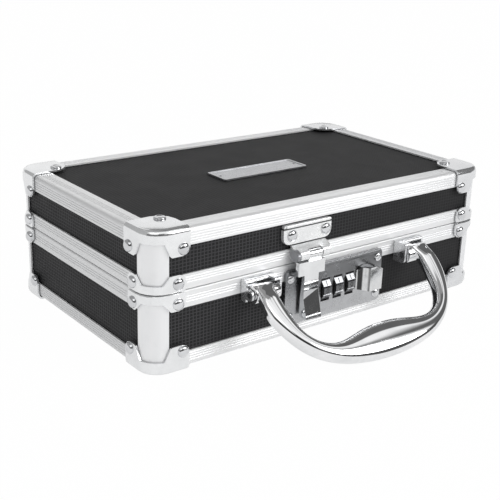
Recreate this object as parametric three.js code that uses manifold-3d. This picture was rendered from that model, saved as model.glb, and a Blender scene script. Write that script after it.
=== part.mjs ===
import * as THREE from 'three';
import { mergeVertices, toCreasedNormals } from 'three/addons/utils/BufferGeometryUtils.js';
import Module from 'manifold-3d';

const wasm = await Module();
wasm.setup();

// Aluminium-framed medication lock box, in millimetres. X runs along the front, the lock faces -Y.
// Everything is laid out from the middle of the shell's underside, then moved to the final origin.

// Shell
const SHELL_WIDTH = 210;
const SHELL_DEPTH = 127.3;
const CORNER_RADIUS = 9.9;
const BASE_HEIGHT = 36.95;
const SEAM_GAP = 0.4;
const LID_HEIGHT = 28.35;
const GAP = 0.3;
const FRONT_FACE = -SHELL_DEPTH / 2;
const BACK_FACE = SHELL_DEPTH / 2;
const LID_BOTTOM = BASE_HEIGHT + SEAM_GAP;
const LID_TOP = LID_BOTTOM + LID_HEIGHT;
const SEAM_HEIGHT = BASE_HEIGHT + SEAM_GAP / 2;

// Extruded frames
const PROFILE_WALL = 0.9;
const EDGE_ROLL = 2.2;
const EDGE_FLANGE = 2.4;
const EDGE_FLANGE_WIDTH = 9.4;
const EDGE_LIP = 0.8;
const EDGE_BODY_WIDTH = 7;
const LID_EDGE_HEIGHT = 7.95;
const BASE_EDGE_HEIGHT = 7.6;
const LID_RIM_HEIGHT = 7.3;
const BASE_RIM_HEIGHT = 7.9;
const LID_RIM_LIP = 2.9;
const BASE_RIM_LIP = 2.2;
const RIM_WIDTH = 7;
const RIM_CHAMFER = 0.4;
const RIM_INNER_WALL = 4.1;
const TONGUE_INSET = 3;
const TONGUE_WIDTH = 1;
const TONGUE_HEIGHT = 1.55;
const TONGUE_DRAFT = 0.1;
const GROOVE_CLEARANCE = 0.6;
const GROOVE_DEPTH = 1.75;
const RIB_PITCH = 1.2;
const RIB_WIDTH = 0.5;
const RIB_DEPTH = 0.22;
const FLANGE_RIB_START = 3.4;
const FLANGE_RIBS = 3;

// Panels, corner columns and linings
const PANEL_INSET = 1.2;
const PANEL_THICKNESS = 2.6;
const PANEL_CORNER = 8.9;
const TOP_PANEL_INSET = 7.3;
const COLUMN_SLOT = 8.6;
const COLUMN_CORE = 5;
const LINING_INSET = 5.3;
const LINING_THICKNESS = 1.5;
const LINING_RADIUS = 4;

// Corner caps and braces
const SHEET = 0.9;
const PROUD = GAP + SHEET;
const CUT_MARGIN = 3;
const CAP_EDGE_ROUND = 2.6;
const CAP_INNER_ROUND = 2;
const CAP_REACH_FRONT = 20;
const CAP_REACH_SIDE = 18.9;
const CAP_ARM_DEPTH = 11.8;
const CAP_BAND = 5.2;
const CAP_LOBE_RADIUS = 4;
const CAP_TOP_LOBE_RADIUS = 8;
const CAP_RIVET_DEPTH = 8.6;
const CAP_RIVET_FROM_END_FRONT = 3.4;
const CAP_RIVET_FROM_END_SIDE = 3.6;
const CAP_TOP_RIVET = 14.2;
const CAP_TOP_RIVET_HEIGHT = 0.95;
const NOTCH_WIDE = 10.2;
const NOTCH_NARROW = 7.2;
const NOTCH_ROUND = 1.4;
const BRACE_REACH_FRONT = 18;
const BRACE_REACH_SIDE = 16.2;
const BRACE_ARM_DEPTH = 8.2;
const BRACE_BAND = 4;
const BRACE_LOBE_RADIUS = 3.6;
const LID_BRACE_RIVET_DEPTH = 4;
const BASE_BRACE_RIVET_DEPTH = 5;
const BRACE_RIVET_FROM_END = 4;
const BRACE_NOTCH_NARROW = 6.5;
const BRACE_END_ROUND = 1.6;
const RIVET_RADIUS = 2.8;
const RIVET_HEIGHT = 1.6;
const LOCK_RIVET_RADIUS = 2.3;
const LOCK_RIVET_HEIGHT = 1.3;
const RIVET_SHANK = 0.5;
const FLUSH_GROOVE_WIDTH = 0.4;
const FLUSH_GROOVE_DEPTH = 0.3;

// Continuous hinge on the back
const HINGE_END_CLEARANCE = 3;
const HINGE_LENGTH = SHELL_WIDTH - 2 * (BRACE_REACH_FRONT + HINGE_END_CLEARANCE);
const HINGE_KNUCKLES = 10;
const HINGE_AXIS_PROUD = 2.6;
const HINGE_BARREL_RADIUS = 1.75;
const HINGE_PIN_RADIUS = 0.8;
const HINGE_BORE_RADIUS = 1;
const HINGE_PIN_OVERRUN = 0.8;
const HINGE_LEAF_HEIGHT = 5.2;
const HINGE_LEAF_RELIEF = 2.05;
const HINGE_WEB_START = 0.45;
const HINGE_RIVETS = 4;
const HINGE_RIVET_RADIUS = 1.3;
const HINGE_RIVET_HEIGHT = 0.5;

// Handle brackets
const BRACKET_FROM = 40.3;
const BRACKET_WIDTH = 17.3;
const BRACKET_TO = BRACKET_FROM + BRACKET_WIDTH;
const BRACKET_SHEET = 1.2;
const BRACKET_BELOW_SEAM = 0.85;
const BRACKET_TOP = BASE_HEIGHT - BRACKET_BELOW_SEAM;
const BRACKET_BELOW_PIVOT = 4.2;
const BRACKET_WEB_REACH = 8.3;
const BRACKET_WEB_ROUND = 0.9;
const BRACKET_NOTCH_SHARE = 0.231;
const BRACKET_NOTCH_REACH = 3.9;
const EAR_FOOT_ROUND = 2;
const EAR_LUG_RADIUS = 2.7;

// Handle
const HANDLE_BARREL_RADIUS = 4.4;
const HANDLE_BACK_PLAY = 0.3;
const HANDLE_HOOD_PLAY = 0.7;
const HANDLE_PIVOT_OFF = GAP + BRACKET_SHEET + HANDLE_BACK_PLAY + HANDLE_BARREL_RADIUS;
const HANDLE_PIVOT_HEIGHT = BRACKET_TOP - BRACKET_SHEET - HANDLE_HOOD_PLAY - HANDLE_BARREL_RADIUS;
const BRACKET_BOTTOM = HANDLE_PIVOT_HEIGHT - BRACKET_BELOW_PIVOT;
const HANDLE_DROP_DEG = 41.6;
const HANDLE_PLANE_LIFT = 3.4;
const HANDLE_CENTRE_X = 1.2;
const HANDLE_END_PLAY = 0.4;
const HANDLE_BARREL_FROM = BRACKET_FROM + BRACKET_SHEET + HANDLE_END_PLAY;
const HANDLE_BARREL_TO = BRACKET_TO - BRACKET_SHEET - HANDLE_END_PLAY;
const HANDLE_PIN_RADIUS = 1.3;
const HANDLE_BORE_RADIUS = 1.5;
const HANDLE_END_THICKNESS = 5;
const HANDLE_END_TAPER = 0.1;
const HANDLE_ARM_THICKNESS = 8;
const HANDLE_GRIP_THICKNESS = 8.4;
const HANDLE_SQUARENESS = 2.5;
const HANDLE_OUTER_REACH = 48.45;
const HANDLE_SPAN_INSET = 0.1;
const HANDLE_OUTER_HALF_SPAN = BRACKET_TO - HANDLE_SPAN_INSET;
const HANDLE_STATIONS = 30;
const HANDLE_SECTION_POINTS = 12;
// Shares of the reach and of the half span: outer x, outer reach, inner x, inner reach.
const HANDLE_EDGE_SHARES = [
  [0.96, -0.025, 0.779, -0.025],
  [0.963, 0.021, 0.793, 0.021],
  [0.97, 0.074, 0.803, 0.074],
  [0.98, 0.134, 0.805, 0.134],
  [0.98, 0.217, 0.8, 0.213],
  [0.97, 0.32, 0.793, 0.305],
  [0.936, 0.429, 0.784, 0.392],
  [0.885, 0.553, 0.77, 0.487],
  [0.811, 0.679, 0.729, 0.578],
  [0.719, 0.782, 0.663, 0.65],
  [0.618, 0.859, 0.581, 0.7],
  [0.485, 0.927, 0.477, 0.718],
  [0.357, 0.962, 0.369, 0.702],
  [0.235, 0.985, 0.254, 0.67],
  [0.117, 0.998, 0.125, 0.646],
];
const HANDLE_GRIP_INNER_SHARE = 0.641;

// Catch plate and hasp, on the lid
const HASP_AXIS_OFF = 4.4;
const HASP_AXIS_RISE = 4.65;
const HASP_AXIS_HEIGHT = LID_BOTTOM + HASP_AXIS_RISE;
const CATCH_LEFT = -33;
const CATCH_RIGHT = -3.7;
const CATCH_ABOVE_AXIS = 5.4;
const CATCH_BOTTOM = HASP_AXIS_HEIGHT + CATCH_ABOVE_AXIS;
const CATCH_HEIGHT = 9.6;
const CATCH_TOP = CATCH_BOTTOM + CATCH_HEIGHT;
const CATCH_SHEET = 1.9;
const CATCH_ROUND = 3.6;
const CATCH_BEAD_HEIGHT = 1.3;
const CATCH_BEAD_PROUD = 0.7;
const CATCH_RIVET_INSET_LOW = 4.2;
const CATCH_RIVET_HEIGHT = CATCH_BOTTOM + CATCH_RIVET_INSET_LOW;
const CATCH_RIVET_FROM_LEFT = 5.1;
const CATCH_RIVET_FROM_RIGHT = 3.6;
const CATCH_ARM_LEFT = -28.2;
const CATCH_ARM_RIGHT = -6.6;
const CATCH_ARM_ROUND = 2.4;
const CATCH_ARM_ROOT_OFF = 0.1;
const CATCH_ARM_ROOT_LENGTH = 1.1;
const HASP_KNUCKLE_RADIUS = 2.3;
const HASP_PIN_RADIUS = 1;
const HASP_BORE_RADIUS = 1.2;
const HASP_KNUCKLE_LEFT = -20.7;
const HASP_KNUCKLE_RIGHT = -13;
const HASP_BARREL_LEFT = -26.4;
const HASP_BARREL_RIGHT = -8;
const CHEEK_RISE = 4;
const CHEEK_TOP = HASP_AXIS_HEIGHT + CHEEK_RISE;
const CHEEK_ROUND = 2.6;
const FLANK_OFF = 4.9;
const ARM_ABOVE_AXIS = 6;
const ARM_STEP_TOP = HASP_AXIS_HEIGHT + ARM_ABOVE_AXIS;
const CATCH_ARM_ROOT_LOW = ARM_STEP_TOP - CATCH_ARM_ROOT_LENGTH;
const ARM_STEP_HEIGHT = 2.7;
const ARM_STEP_LOW = ARM_STEP_TOP - ARM_STEP_HEIGHT;
const ARM_STEP_OFF = 3;
const ARM_INNER_BELOW = 0.8;
const ARM_INNER_TOP = ARM_STEP_TOP - ARM_INNER_BELOW;
const ARM_INNER_HEIGHT = 2.5;
const ARM_INNER_LOW = ARM_INNER_TOP - ARM_INNER_HEIGHT;
const ARM_INNER_OFF = 1.7;
const HASP_BLOCK_LEFT = -27.3;
const HASP_BLOCK_RIGHT = -11.3;
const HASP_BLOCK_PLAY = 0.5;
const HASP_BLOCK_TOP = HASP_AXIS_HEIGHT - HASP_KNUCKLE_RADIUS - HASP_BLOCK_PLAY;
const HASP_BLOCK_HEIGHT = 6.7;
const HASP_BLOCK_BOTTOM = HASP_BLOCK_TOP - HASP_BLOCK_HEIGHT;
const HASP_BLOCK_BACK = 4;
const HASP_BLOCK_FRONT = 6.4;
const HASP_BAR_LEFT = -23;
const HASP_BAR_RIGHT = -14.2;
const HASP_BAR_BACK = 2.9;
const HASP_BAR_FRONT = 6.6;
const HASP_BAR_BOTTOM = 10.3;
const HASP_SWAN_TOP = 22;
const HASP_SWAN_DEPTH = 2;
const HASP_SWAN_SHARES = [[0, 0], [0.12, 0.4], [0.24, 0.8], [0.36, 1], [0.5, 0.92], [0.64, 0.64], [0.78, 0.24], [0.9, -0.14]];
const HASP_TOE_FRONT = 7.2;
const HASP_TOE_ROUND = 1.6;
const HASP_WELD = 1;
const NIB_WIDTH = 3.6;
const NIB_BOTTOM = 10.8;
const NIB_TOP = 13.6;
const NIB_TIP = 0.5;

// Lock
const LOCK_LEFT = -31;
const LOCK_RIGHT = 32;
const LOCK_BOTTOM = 6.4;
const LOCK_TOP = 34.4;
const LOCK_SHEET = 1.2;
const LOCK_ROUND = 2.4;
const LOCK_LIP_HEIGHT = 2;
const LOCK_LIP_PROUD = 1;
const LOCK_RIVET_INSET_X = 3;
const LOCK_RIVET_INSET_LOW = 4;
const LOCK_RIVET_INSET_HIGH = 4.4;
const HOUSING_LEFT = -27.5;
const HOUSING_RIGHT = 30;
const HOUSING_BOTTOM = 8.6;
const HOUSING_TOP = 28.4;
const HOUSING_DEPTH = 11;
const HOUSING_WALL = 1.2;
const CUTOUT_CLEARANCE = 0.5;
const DIAL_PITCH = 7.9;
const DIAL_FIRST = -5.55;
const DIAL_COUNT = 3;
const DIAL_RADIUS = 6.3;
const DIAL_WIDTH = 4.9;
const DIAL_FACES = 10;
const DIAL_NOTCH_DEPTH = 0.7;
const DIAL_NOTCH_SHARE = 0.22;
const DIAL_AXIS_OFF = -2.6;
const DIAL_AXIS_HEIGHT = 19.9;
const DIAL_BORE_RADIUS = 1.6;
const SPINDLE_RADIUS = 1.3;
const SPINDLE_BORE_RADIUS = 1.5;
const WINDOW_WIDTH = 5.6;
const WINDOW_HEIGHT = 11.9;
const CHEEK_WALL = 1.2;
const CHEEK_LEFT = -13.2;
const CHEEK_RIGHT = 14.8;
const CHEEK_BOTTOM = 13.2;
const KEEPER_SLOT_WIDTH = 4.8;
const KEEPER_SLOT_BOTTOM = 10;
const KEEPER_SLOT_TOP = 21.6;

// Release button, bolt slide and return spring
const BUTTON_LEFT = 14.5;
const BUTTON_RIGHT = 27;
const BUTTON_BOTTOM = 15.5;
const BUTTON_SHOULDER = 26;
const BUTTON_CROWN = 28;
const BUTTON_BACK = 1.8;
const BUTTON_FRONT = 8;
const BUTTON_SCOOP_SHARES = [[0, 0], [0.12, 0.24], [0.22, 0.56], [0.27, 0.86], [0.31, 1]];
const BUTTON_EDGE = 0.6;
const STEM_LEFT = 17.5;
const STEM_RIGHT = 21.5;
const STEM_BOTTOM = 19;
const STEM_TOP = 23;
const STEM_BACK = -3.2;
const BUTTON_TRAVEL = 4;
const SLIDE_FRONT = -1;
const SLIDE_BACK = -2.6;
const SLIDE_LEFT = 16.4;
const SLIDE_RIGHT = 22.6;
const SLIDE_TOP = 24.4;
const SLIDE_LEG_LEFT = 18;
const BOLT_BOTTOM = 9.95;
const BOLT_TOP = 12.4;
const BOLT_NOSE = -17.4;
const BOLT_NOSE_BEVEL = 1.4;
const SEAT_LEFT = 21.8;
const SEAT_BACK = -6.2;
const SEAT_BOTTOM = 18.4;
const SEAT_TOP = 23.6;
const SPRING_FROM = 22.9;
const SPRING_TO = 28.5;
const SPRING_RADIUS = 1.7;
const SPRING_WIRE = 0.25;
const SPRING_TURNS = 4;
const SPRING_AXIS_OFF = -4.1;
const SPRING_AXIS_HEIGHT = 21;

// Name plate
const PLATE_WIDTH = 54;
const PLATE_DEPTH = 16;
const PLATE_THICKNESS = 0.8;
const PLATE_ROUND = 1.2;
const PLATE_CENTRE_X = -1;
const PLATE_CENTRE_Y = -3;
const PLATE_BORDER = 1.2;
const PLATE_RECESS = 0.25;
const PLATE_PIN_RADIUS = 0.8;
const PLATE_PIN_HEIGHT = 0.3;
const PLATE_PIN_INSET = 2.8;

// Smoothness
const CORNER_SEGMENTS = 5;
const ROUND_SEGMENTS = 3;
const BARREL_SEGMENTS = 16;
const RIVET_SEGMENTS = 12;
const PIN_SEGMENTS = 10;
const WIRE_SEGMENTS = 5;
const STEPS_PER_TURN = 8;
const MIN_RADIUS = 0.25;
const WELD = 0.0001;
const CREASE_DEG = 32;
const QUARTER_TURN = Math.PI / 2;

const X_AXIS = new THREE.Vector3(1, 0, 0);
const Y_AXIS = new THREE.Vector3(0, 1, 0);
const Z_AXIS = new THREE.Vector3(0, 0, 1);
const PRISM_FRAMES = {
  x: new THREE.Matrix4().makeBasis(Y_AXIS, Z_AXIS, X_AXIS),
  y: new THREE.Matrix4().makeBasis(X_AXIS, Z_AXIS, Y_AXIS),
  z: new THREE.Matrix4(),
};
const SIDES = {
  front: { axis: 'x', sign: -1 },
  back: { axis: 'x', sign: 1 },
  left: { axis: 'y', sign: -1 },
  right: { axis: 'y', sign: 1 },
};
const CORNERS = {
  front_left: [-1, -1],
  front_right: [1, -1],
  back_left: [-1, 1],
  back_right: [1, 1],
};

const LOOKS = {
  aluminium: { color: 0xd4d5d7, metalness: 0.8, roughness: 0.38 },
  chrome: { color: 0xe3e4e6, metalness: 1, roughness: 0.14 },
  steel: { color: 0xa9abae, metalness: 0.9, roughness: 0.3 },
  panel: { color: 0x2b2b2b, metalness: 0, roughness: 0.75 },
  top_panel: { color: 0x404040, metalness: 0, roughness: 0.8 },
  lining: { color: 0x232327, metalness: 0, roughness: 0.98 },
  dial: { color: 0x2a2a2c, metalness: 0.6, roughness: 0.35 },
};

function signedVolume(geometry) {
  const { array } = geometry.attributes.position;
  const index = geometry.index.array;
  const corner = [new THREE.Vector3(), new THREE.Vector3(), new THREE.Vector3()];
  let total = 0;
  for (let i = 0; i < index.length; i += 3) {
    corner.forEach((point, k) => point.fromArray(array, index[i + k] * 3));
    total += corner[0].dot(corner[1].cross(corner[2]));
  }
  return total;
}

function facingOut(geometry) {
  if (signedVolume(geometry) < 0) {
    const index = geometry.index.array;
    for (let i = 0; i < index.length; i += 3) {
      [index[i], index[i + 1]] = [index[i + 1], index[i]];
    }
  }
  return geometry;
}

function solid(geometry) {
  const bare = geometry.clone();
  bare.deleteAttribute('normal');
  bare.deleteAttribute('uv');
  const welded = facingOut(mergeVertices(bare, WELD));
  return new wasm.Manifold(new wasm.Mesh({
    numProp: 3,
    vertProperties: new Float32Array(welded.attributes.position.array),
    triVerts: new Uint32Array(welded.index.array),
  }));
}

function geometryOf(shape) {
  const mesh = shape.getMesh();
  const geometry = new THREE.BufferGeometry();
  const points = new Float32Array(mesh.numVert * 3);
  for (let i = 0; i < mesh.numVert; i += 1) {
    points.set(mesh.vertProperties.subarray(i * mesh.numProp, i * mesh.numProp + 3), i * 3);
  }
  geometry.setAttribute('position', new THREE.BufferAttribute(points, 3));
  geometry.setIndex(new THREE.BufferAttribute(new Uint32Array(mesh.triVerts), 1));
  return geometry;
}

function joined(shapes) {
  return shapes.slice(1).reduce((sum, shape) => sum.add(shape), shapes[0]);
}

function cut(shape, tools) {
  return tools.reduce((rest, tool) => rest.subtract(tool), shape);
}

function indexed(points, index) {
  const geometry = new THREE.BufferGeometry();
  geometry.setAttribute('position', new THREE.Float32BufferAttribute(points.flat(), 3));
  geometry.setIndex(index);
  return geometry;
}

function box(xFrom, xTo, yFrom, yTo, zFrom, zTo) {
  const geometry = new THREE.BoxGeometry(xTo - xFrom, yTo - yFrom, zTo - zFrom);
  return solid(geometry.translate((xFrom + xTo) / 2, (yFrom + yTo) / 2, (zFrom + zTo) / 2));
}

// Outline points are [u, v, radius]: a corner with a radius is rounded.
function rounded(outline) {
  const points = [];
  outline.forEach(([u, v, radius = 0], i) => {
    if (radius === 0) {
      points.push(new THREE.Vector2(u, v));
      return;
    }
    const corner = new THREE.Vector2(u, v);
    const before = outline[(i + outline.length - 1) % outline.length];
    const after = outline[(i + 1) % outline.length];
    const toBefore = new THREE.Vector2(before[0], before[1]).sub(corner).normalize();
    const toAfter = new THREE.Vector2(after[0], after[1]).sub(corner).normalize();
    const half = Math.acos(THREE.MathUtils.clamp(toBefore.dot(toAfter), -1, 1)) / 2;
    const reach = radius / Math.tan(half);
    const centre = toBefore.clone().add(toAfter).normalize().multiplyScalar(radius / Math.sin(half));
    centre.add(corner);
    const start = corner.clone().addScaledVector(toBefore, reach).sub(centre);
    const sweep = Math.PI - 2 * half;
    const turn = Math.sign(toAfter.cross(toBefore)) || 1;
    for (let k = 0; k <= ROUND_SEGMENTS; k += 1) {
      const angle = (turn * sweep * k) / ROUND_SEGMENTS;
      points.push(start.clone().rotateAround(new THREE.Vector2(0, 0), angle).add(centre));
    }
  });
  return points;
}

function prism(outline, from, to, axis) {
  const shape = new THREE.Shape(rounded(outline));
  const geometry = new THREE.ExtrudeGeometry(shape, { depth: to - from, bevelEnabled: false });
  return solid(geometry.translate(0, 0, from).applyMatrix4(PRISM_FRAMES[axis]));
}

// A rod along X. The height and distance name its axis in the YZ plane.
function rod(radius, from, to, y, z, segments = PIN_SEGMENTS) {
  const geometry = new THREE.CylinderGeometry(radius, radius, to - from, segments);
  return solid(geometry.rotateZ(QUARTER_TURN).translate((from + to) / 2, y, z));
}

function convexLoft(loops) {
  const count = loops[0].length;
  const index = [];
  for (let i = 0; i + 1 < loops.length; i += 1) {
    for (let j = 0; j < count; j += 1) {
      const next = (j + 1) % count;
      const a = i * count + j;
      const b = i * count + next;
      index.push(a, b, b + count, a, b + count, a + count);
    }
  }
  const last = (loops.length - 1) * count;
  for (let j = 1; j + 1 < count; j += 1) {
    index.push(0, j + 1, j, last, last + j, last + j + 1);
  }
  return indexed(loops.flat(), index);
}

function roundedLoop(inset, z) {
  const radius = Math.max(CORNER_RADIUS - inset, MIN_RADIUS);
  const x = SHELL_WIDTH / 2 - inset - radius;
  const y = SHELL_DEPTH / 2 - inset - radius;
  const loop = [];
  [[1, 1], [-1, 1], [-1, -1], [1, -1]].forEach(([signX, signY], quarter) => {
    for (let i = 0; i <= CORNER_SEGMENTS; i += 1) {
      const angle = (quarter + i / CORNER_SEGMENTS) * QUARTER_TURN;
      loop.push([signX * x + radius * Math.cos(angle), signY * y + radius * Math.sin(angle), z]);
    }
  });
  return loop;
}

// A closed section of [inset, z] points, carried round the rounded outline of the shell.
function ring(section) {
  const loops = section.map(([inset, z]) => roundedLoop(inset, z));
  const count = loops[0].length;
  const index = [];
  for (let i = 0; i < loops.length; i += 1) {
    const row = i * count;
    const nextRow = ((i + 1) % loops.length) * count;
    for (let j = 0; j < count; j += 1) {
      const next = (j + 1) % count;
      index.push(row + j, row + next, nextRow + next, row + j, nextRow + next, nextRow + j);
    }
  }
  return solid(indexed(loops.flat(), index));
}

function alongSide(side, section, cornerClear) {
  const { axis, sign } = SIDES[side];
  const [across, length] = axis === 'x' ? [SHELL_DEPTH, SHELL_WIDTH] : [SHELL_WIDTH, SHELL_DEPTH];
  const half = length / 2 - cornerClear;
  return prism(section.map(([inset, z]) => [sign * (across / 2 - inset), z]), -half, half, axis);
}

function ribs(from, count) {
  const marks = [];
  for (let i = 0; i < count; i += 1) {
    marks.push(from + i * RIB_PITCH);
  }
  return marks;
}

function rivet(radius, height, segments = RIVET_SEGMENTS) {
  const profile = [
    [0, -RIVET_SHANK],
    [radius, -RIVET_SHANK],
    [radius, height * 0.2],
    [radius * 0.74, height * 0.74],
    [0, height],
  ];
  const points = profile.map(([r, z]) => new THREE.Vector2(r, z));
  return new THREE.LatheGeometry(points, segments).rotateX(QUARTER_TURN);
}

function rivetOn(x, y, z, facing, radius = RIVET_RADIUS, height = RIVET_HEIGHT) {
  const turn = new THREE.Quaternion().setFromUnitVectors(Z_AXIS, new THREE.Vector3(...facing));
  return solid(rivet(radius, height).applyQuaternion(turn).translate(x, y, z));
}

function meshOf(name, shape, look, position = [0, 0, 0]) {
  const geometry = shape.isBufferGeometry ? shape : geometryOf(shape);
  const smooth = toCreasedNormals(geometry, THREE.MathUtils.degToRad(CREASE_DEG));
  const mesh = new THREE.Mesh(smooth, new THREE.MeshStandardMaterial(LOOKS[look]));
  mesh.name = name;
  mesh.position.set(...position);
  return mesh;
}

// Height above the outer face of a half, turned into a height along Z for that half.
const HALVES = {
  base: {
    outer: 0,
    inward: 1,
    depth: BASE_HEIGHT,
    edgeHeight: BASE_EDGE_HEIGHT,
    rimHeight: BASE_RIM_HEIGHT,
    rimLip: BASE_RIM_LIP,
    braceRivetDepth: BASE_BRACE_RIVET_DEPTH,
    outerName: 'bottom',
  },
  lid: {
    outer: LID_TOP,
    inward: -1,
    depth: LID_HEIGHT,
    edgeHeight: LID_EDGE_HEIGHT,
    rimHeight: LID_RIM_HEIGHT,
    rimLip: LID_RIM_LIP,
    braceRivetDepth: LID_BRACE_RIVET_DEPTH,
    outerName: 'top',
  },
};

function edgeFrame(half) {
  const section = [[0, EDGE_FLANGE]];
  for (let i = 0; i <= ROUND_SEGMENTS; i += 1) {
    const angle = (i / ROUND_SEGMENTS) * QUARTER_TURN;
    section.push([EDGE_ROLL * (1 - Math.cos(angle)), EDGE_ROLL * (1 - Math.sin(angle))]);
  }
  for (const mark of ribs(FLANGE_RIB_START, FLANGE_RIBS)) {
    section.push([mark - RIB_WIDTH / 2, 0], [mark, RIB_DEPTH], [mark + RIB_WIDTH / 2, 0]);
  }
  section.push([EDGE_FLANGE_WIDTH, 0], [EDGE_FLANGE_WIDTH, EDGE_LIP]);
  section.push([EDGE_BODY_WIDTH, EDGE_LIP], [EDGE_BODY_WIDTH, EDGE_FLANGE]);
  const frame = ring(section.map(([inset, depth]) => [inset, half.inward * depth]));
  const strip = [[0, EDGE_FLANGE - GAP]];
  for (const mark of ribs(EDGE_FLANGE + RIB_PITCH / 2, FLANGE_RIBS + 1)) {
    strip.push([0, mark - RIB_WIDTH / 2], [RIB_DEPTH, mark], [0, mark + RIB_WIDTH / 2]);
  }
  strip.push([0, half.edgeHeight], [PROFILE_WALL, half.edgeHeight], [PROFILE_WALL, EDGE_FLANGE - GAP]);
  const section2 = strip.map(([inset, depth]) => [inset, half.inward * depth]);
  const walls = Object.keys(SIDES).map((side) => alongSide(side, section2, CORNER_RADIUS + GAP));
  return joined([frame, ...walls]);
}

// Rim sections are measured from the seam face, away from the seam.
function rim(half) {
  const up = -half.inward;
  const lip = half.rimLip;
  const tongue = [
    [TONGUE_INSET, 0],
    [TONGUE_INSET + TONGUE_DRAFT, -TONGUE_HEIGHT],
    [TONGUE_INSET + TONGUE_WIDTH - TONGUE_DRAFT, -TONGUE_HEIGHT],
    [TONGUE_INSET + TONGUE_WIDTH, 0],
  ];
  const grooveFrom = TONGUE_INSET - GROOVE_CLEARANCE;
  const grooveTo = TONGUE_INSET + TONGUE_WIDTH + GROOVE_CLEARANCE;
  const groove = [
    [grooveFrom, 0],
    [grooveFrom + TONGUE_DRAFT, GROOVE_DEPTH],
    [grooveTo - TONGUE_DRAFT, GROOVE_DEPTH],
    [grooveTo, 0],
  ];
  const joint = half.inward > 0 ? tongue : groove;
  const section = [[0, lip], [0, RIM_CHAMFER], [RIM_CHAMFER, 0], ...joint, [RIM_WIDTH, 0], [RIM_WIDTH, lip]];
  const frame = ring(section.map(([inset, depth]) => [inset, up * depth]));
  const wall = [[0, lip - GAP]];
  for (const mark of ribs(lip + RIB_PITCH / 2, FLANGE_RIBS)) {
    wall.push([0, mark - RIB_WIDTH / 2], [RIB_DEPTH, mark], [0, mark + RIB_WIDTH / 2]);
  }
  wall.push([0, half.rimHeight], [PROFILE_WALL, half.rimHeight], [PROFILE_WALL, lip - GAP]);
  const inner = [
    [RIM_INNER_WALL, lip - GAP],
    [RIM_INNER_WALL, half.rimHeight],
    [RIM_INNER_WALL + PROFILE_WALL, half.rimHeight],
    [RIM_INNER_WALL + PROFILE_WALL, lip - GAP],
  ];
  const turned = (outline) => outline.map(([inset, depth]) => [inset, up * depth]);
  const walls = Object.keys(SIDES).flatMap((side) => [
    alongSide(side, turned(wall), CORNER_RADIUS + GAP),
    alongSide(side, turned(inner), PANEL_CORNER),
  ]);
  return joined([frame, ...walls]);
}

// Column outline in distances from the shell's two faces at one corner.
function columnOutline() {
  const outline = [];
  for (let i = 0; i <= CORNER_SEGMENTS; i += 1) {
    const angle = (i / CORNER_SEGMENTS) * QUARTER_TURN;
    outline.push([CORNER_RADIUS * (1 - Math.cos(angle)), CORNER_RADIUS * (1 - Math.sin(angle))]);
  }
  outline.push(
    [CORNER_RADIUS, PROFILE_WALL],
    [COLUMN_SLOT, PROFILE_WALL],
    [COLUMN_SLOT, COLUMN_CORE],
    [COLUMN_CORE, COLUMN_CORE],
    [COLUMN_CORE, COLUMN_SLOT],
    [PROFILE_WALL, COLUMN_SLOT],
    [PROFILE_WALL, CORNER_RADIUS],
  );
  return outline;
}

const SQUARE_EDGE = [[0, 0]];
const CHAMFERED_EDGE = [[1, 0], [0, 1]];
const PRESSED_EDGE_SHARES = [[1, 0], [0.5, 0.134], [0.134, 0.5], [0, 1]];

// The outside of a bent sheet at one corner, as loops of [a, b, depth] from the corner.
function cornerBlock(proud, edgeShares, round, reach, from, to) {
  const steps = edgeShares.map(([inset, depth]) => [inset * round, from + depth * round]);
  steps.push([0, to]);
  const loops = steps.map(([inset, depth]) => {
    const edge = inset - proud;
    const radius = CORNER_RADIUS - edge;
    const loop = [[reach, reach, depth], [edge, reach, depth]];
    for (let i = 0; i <= CORNER_SEGMENTS; i += 1) {
      const angle = (i / CORNER_SEGMENTS) * QUARTER_TURN;
      const a = CORNER_RADIUS - radius * Math.cos(angle);
      const b = CORNER_RADIUS - radius * Math.sin(angle);
      loop.push([a, b, depth]);
    }
    loop.push([reach, edge, depth]);
    return loop;
  });
  return solid(convexLoft(loops));
}

function armOutline(reach, armDepth, band, notchNarrow, lobe, endRound, top) {
  return [
    [-CUT_MARGIN, top],
    [reach, top, endRound],
    [reach, armDepth, lobe],
    [NOTCH_WIDE, armDepth, NOTCH_ROUND],
    [notchNarrow, band, NOTCH_ROUND / 2],
    [-CUT_MARGIN, band],
  ];
}

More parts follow.
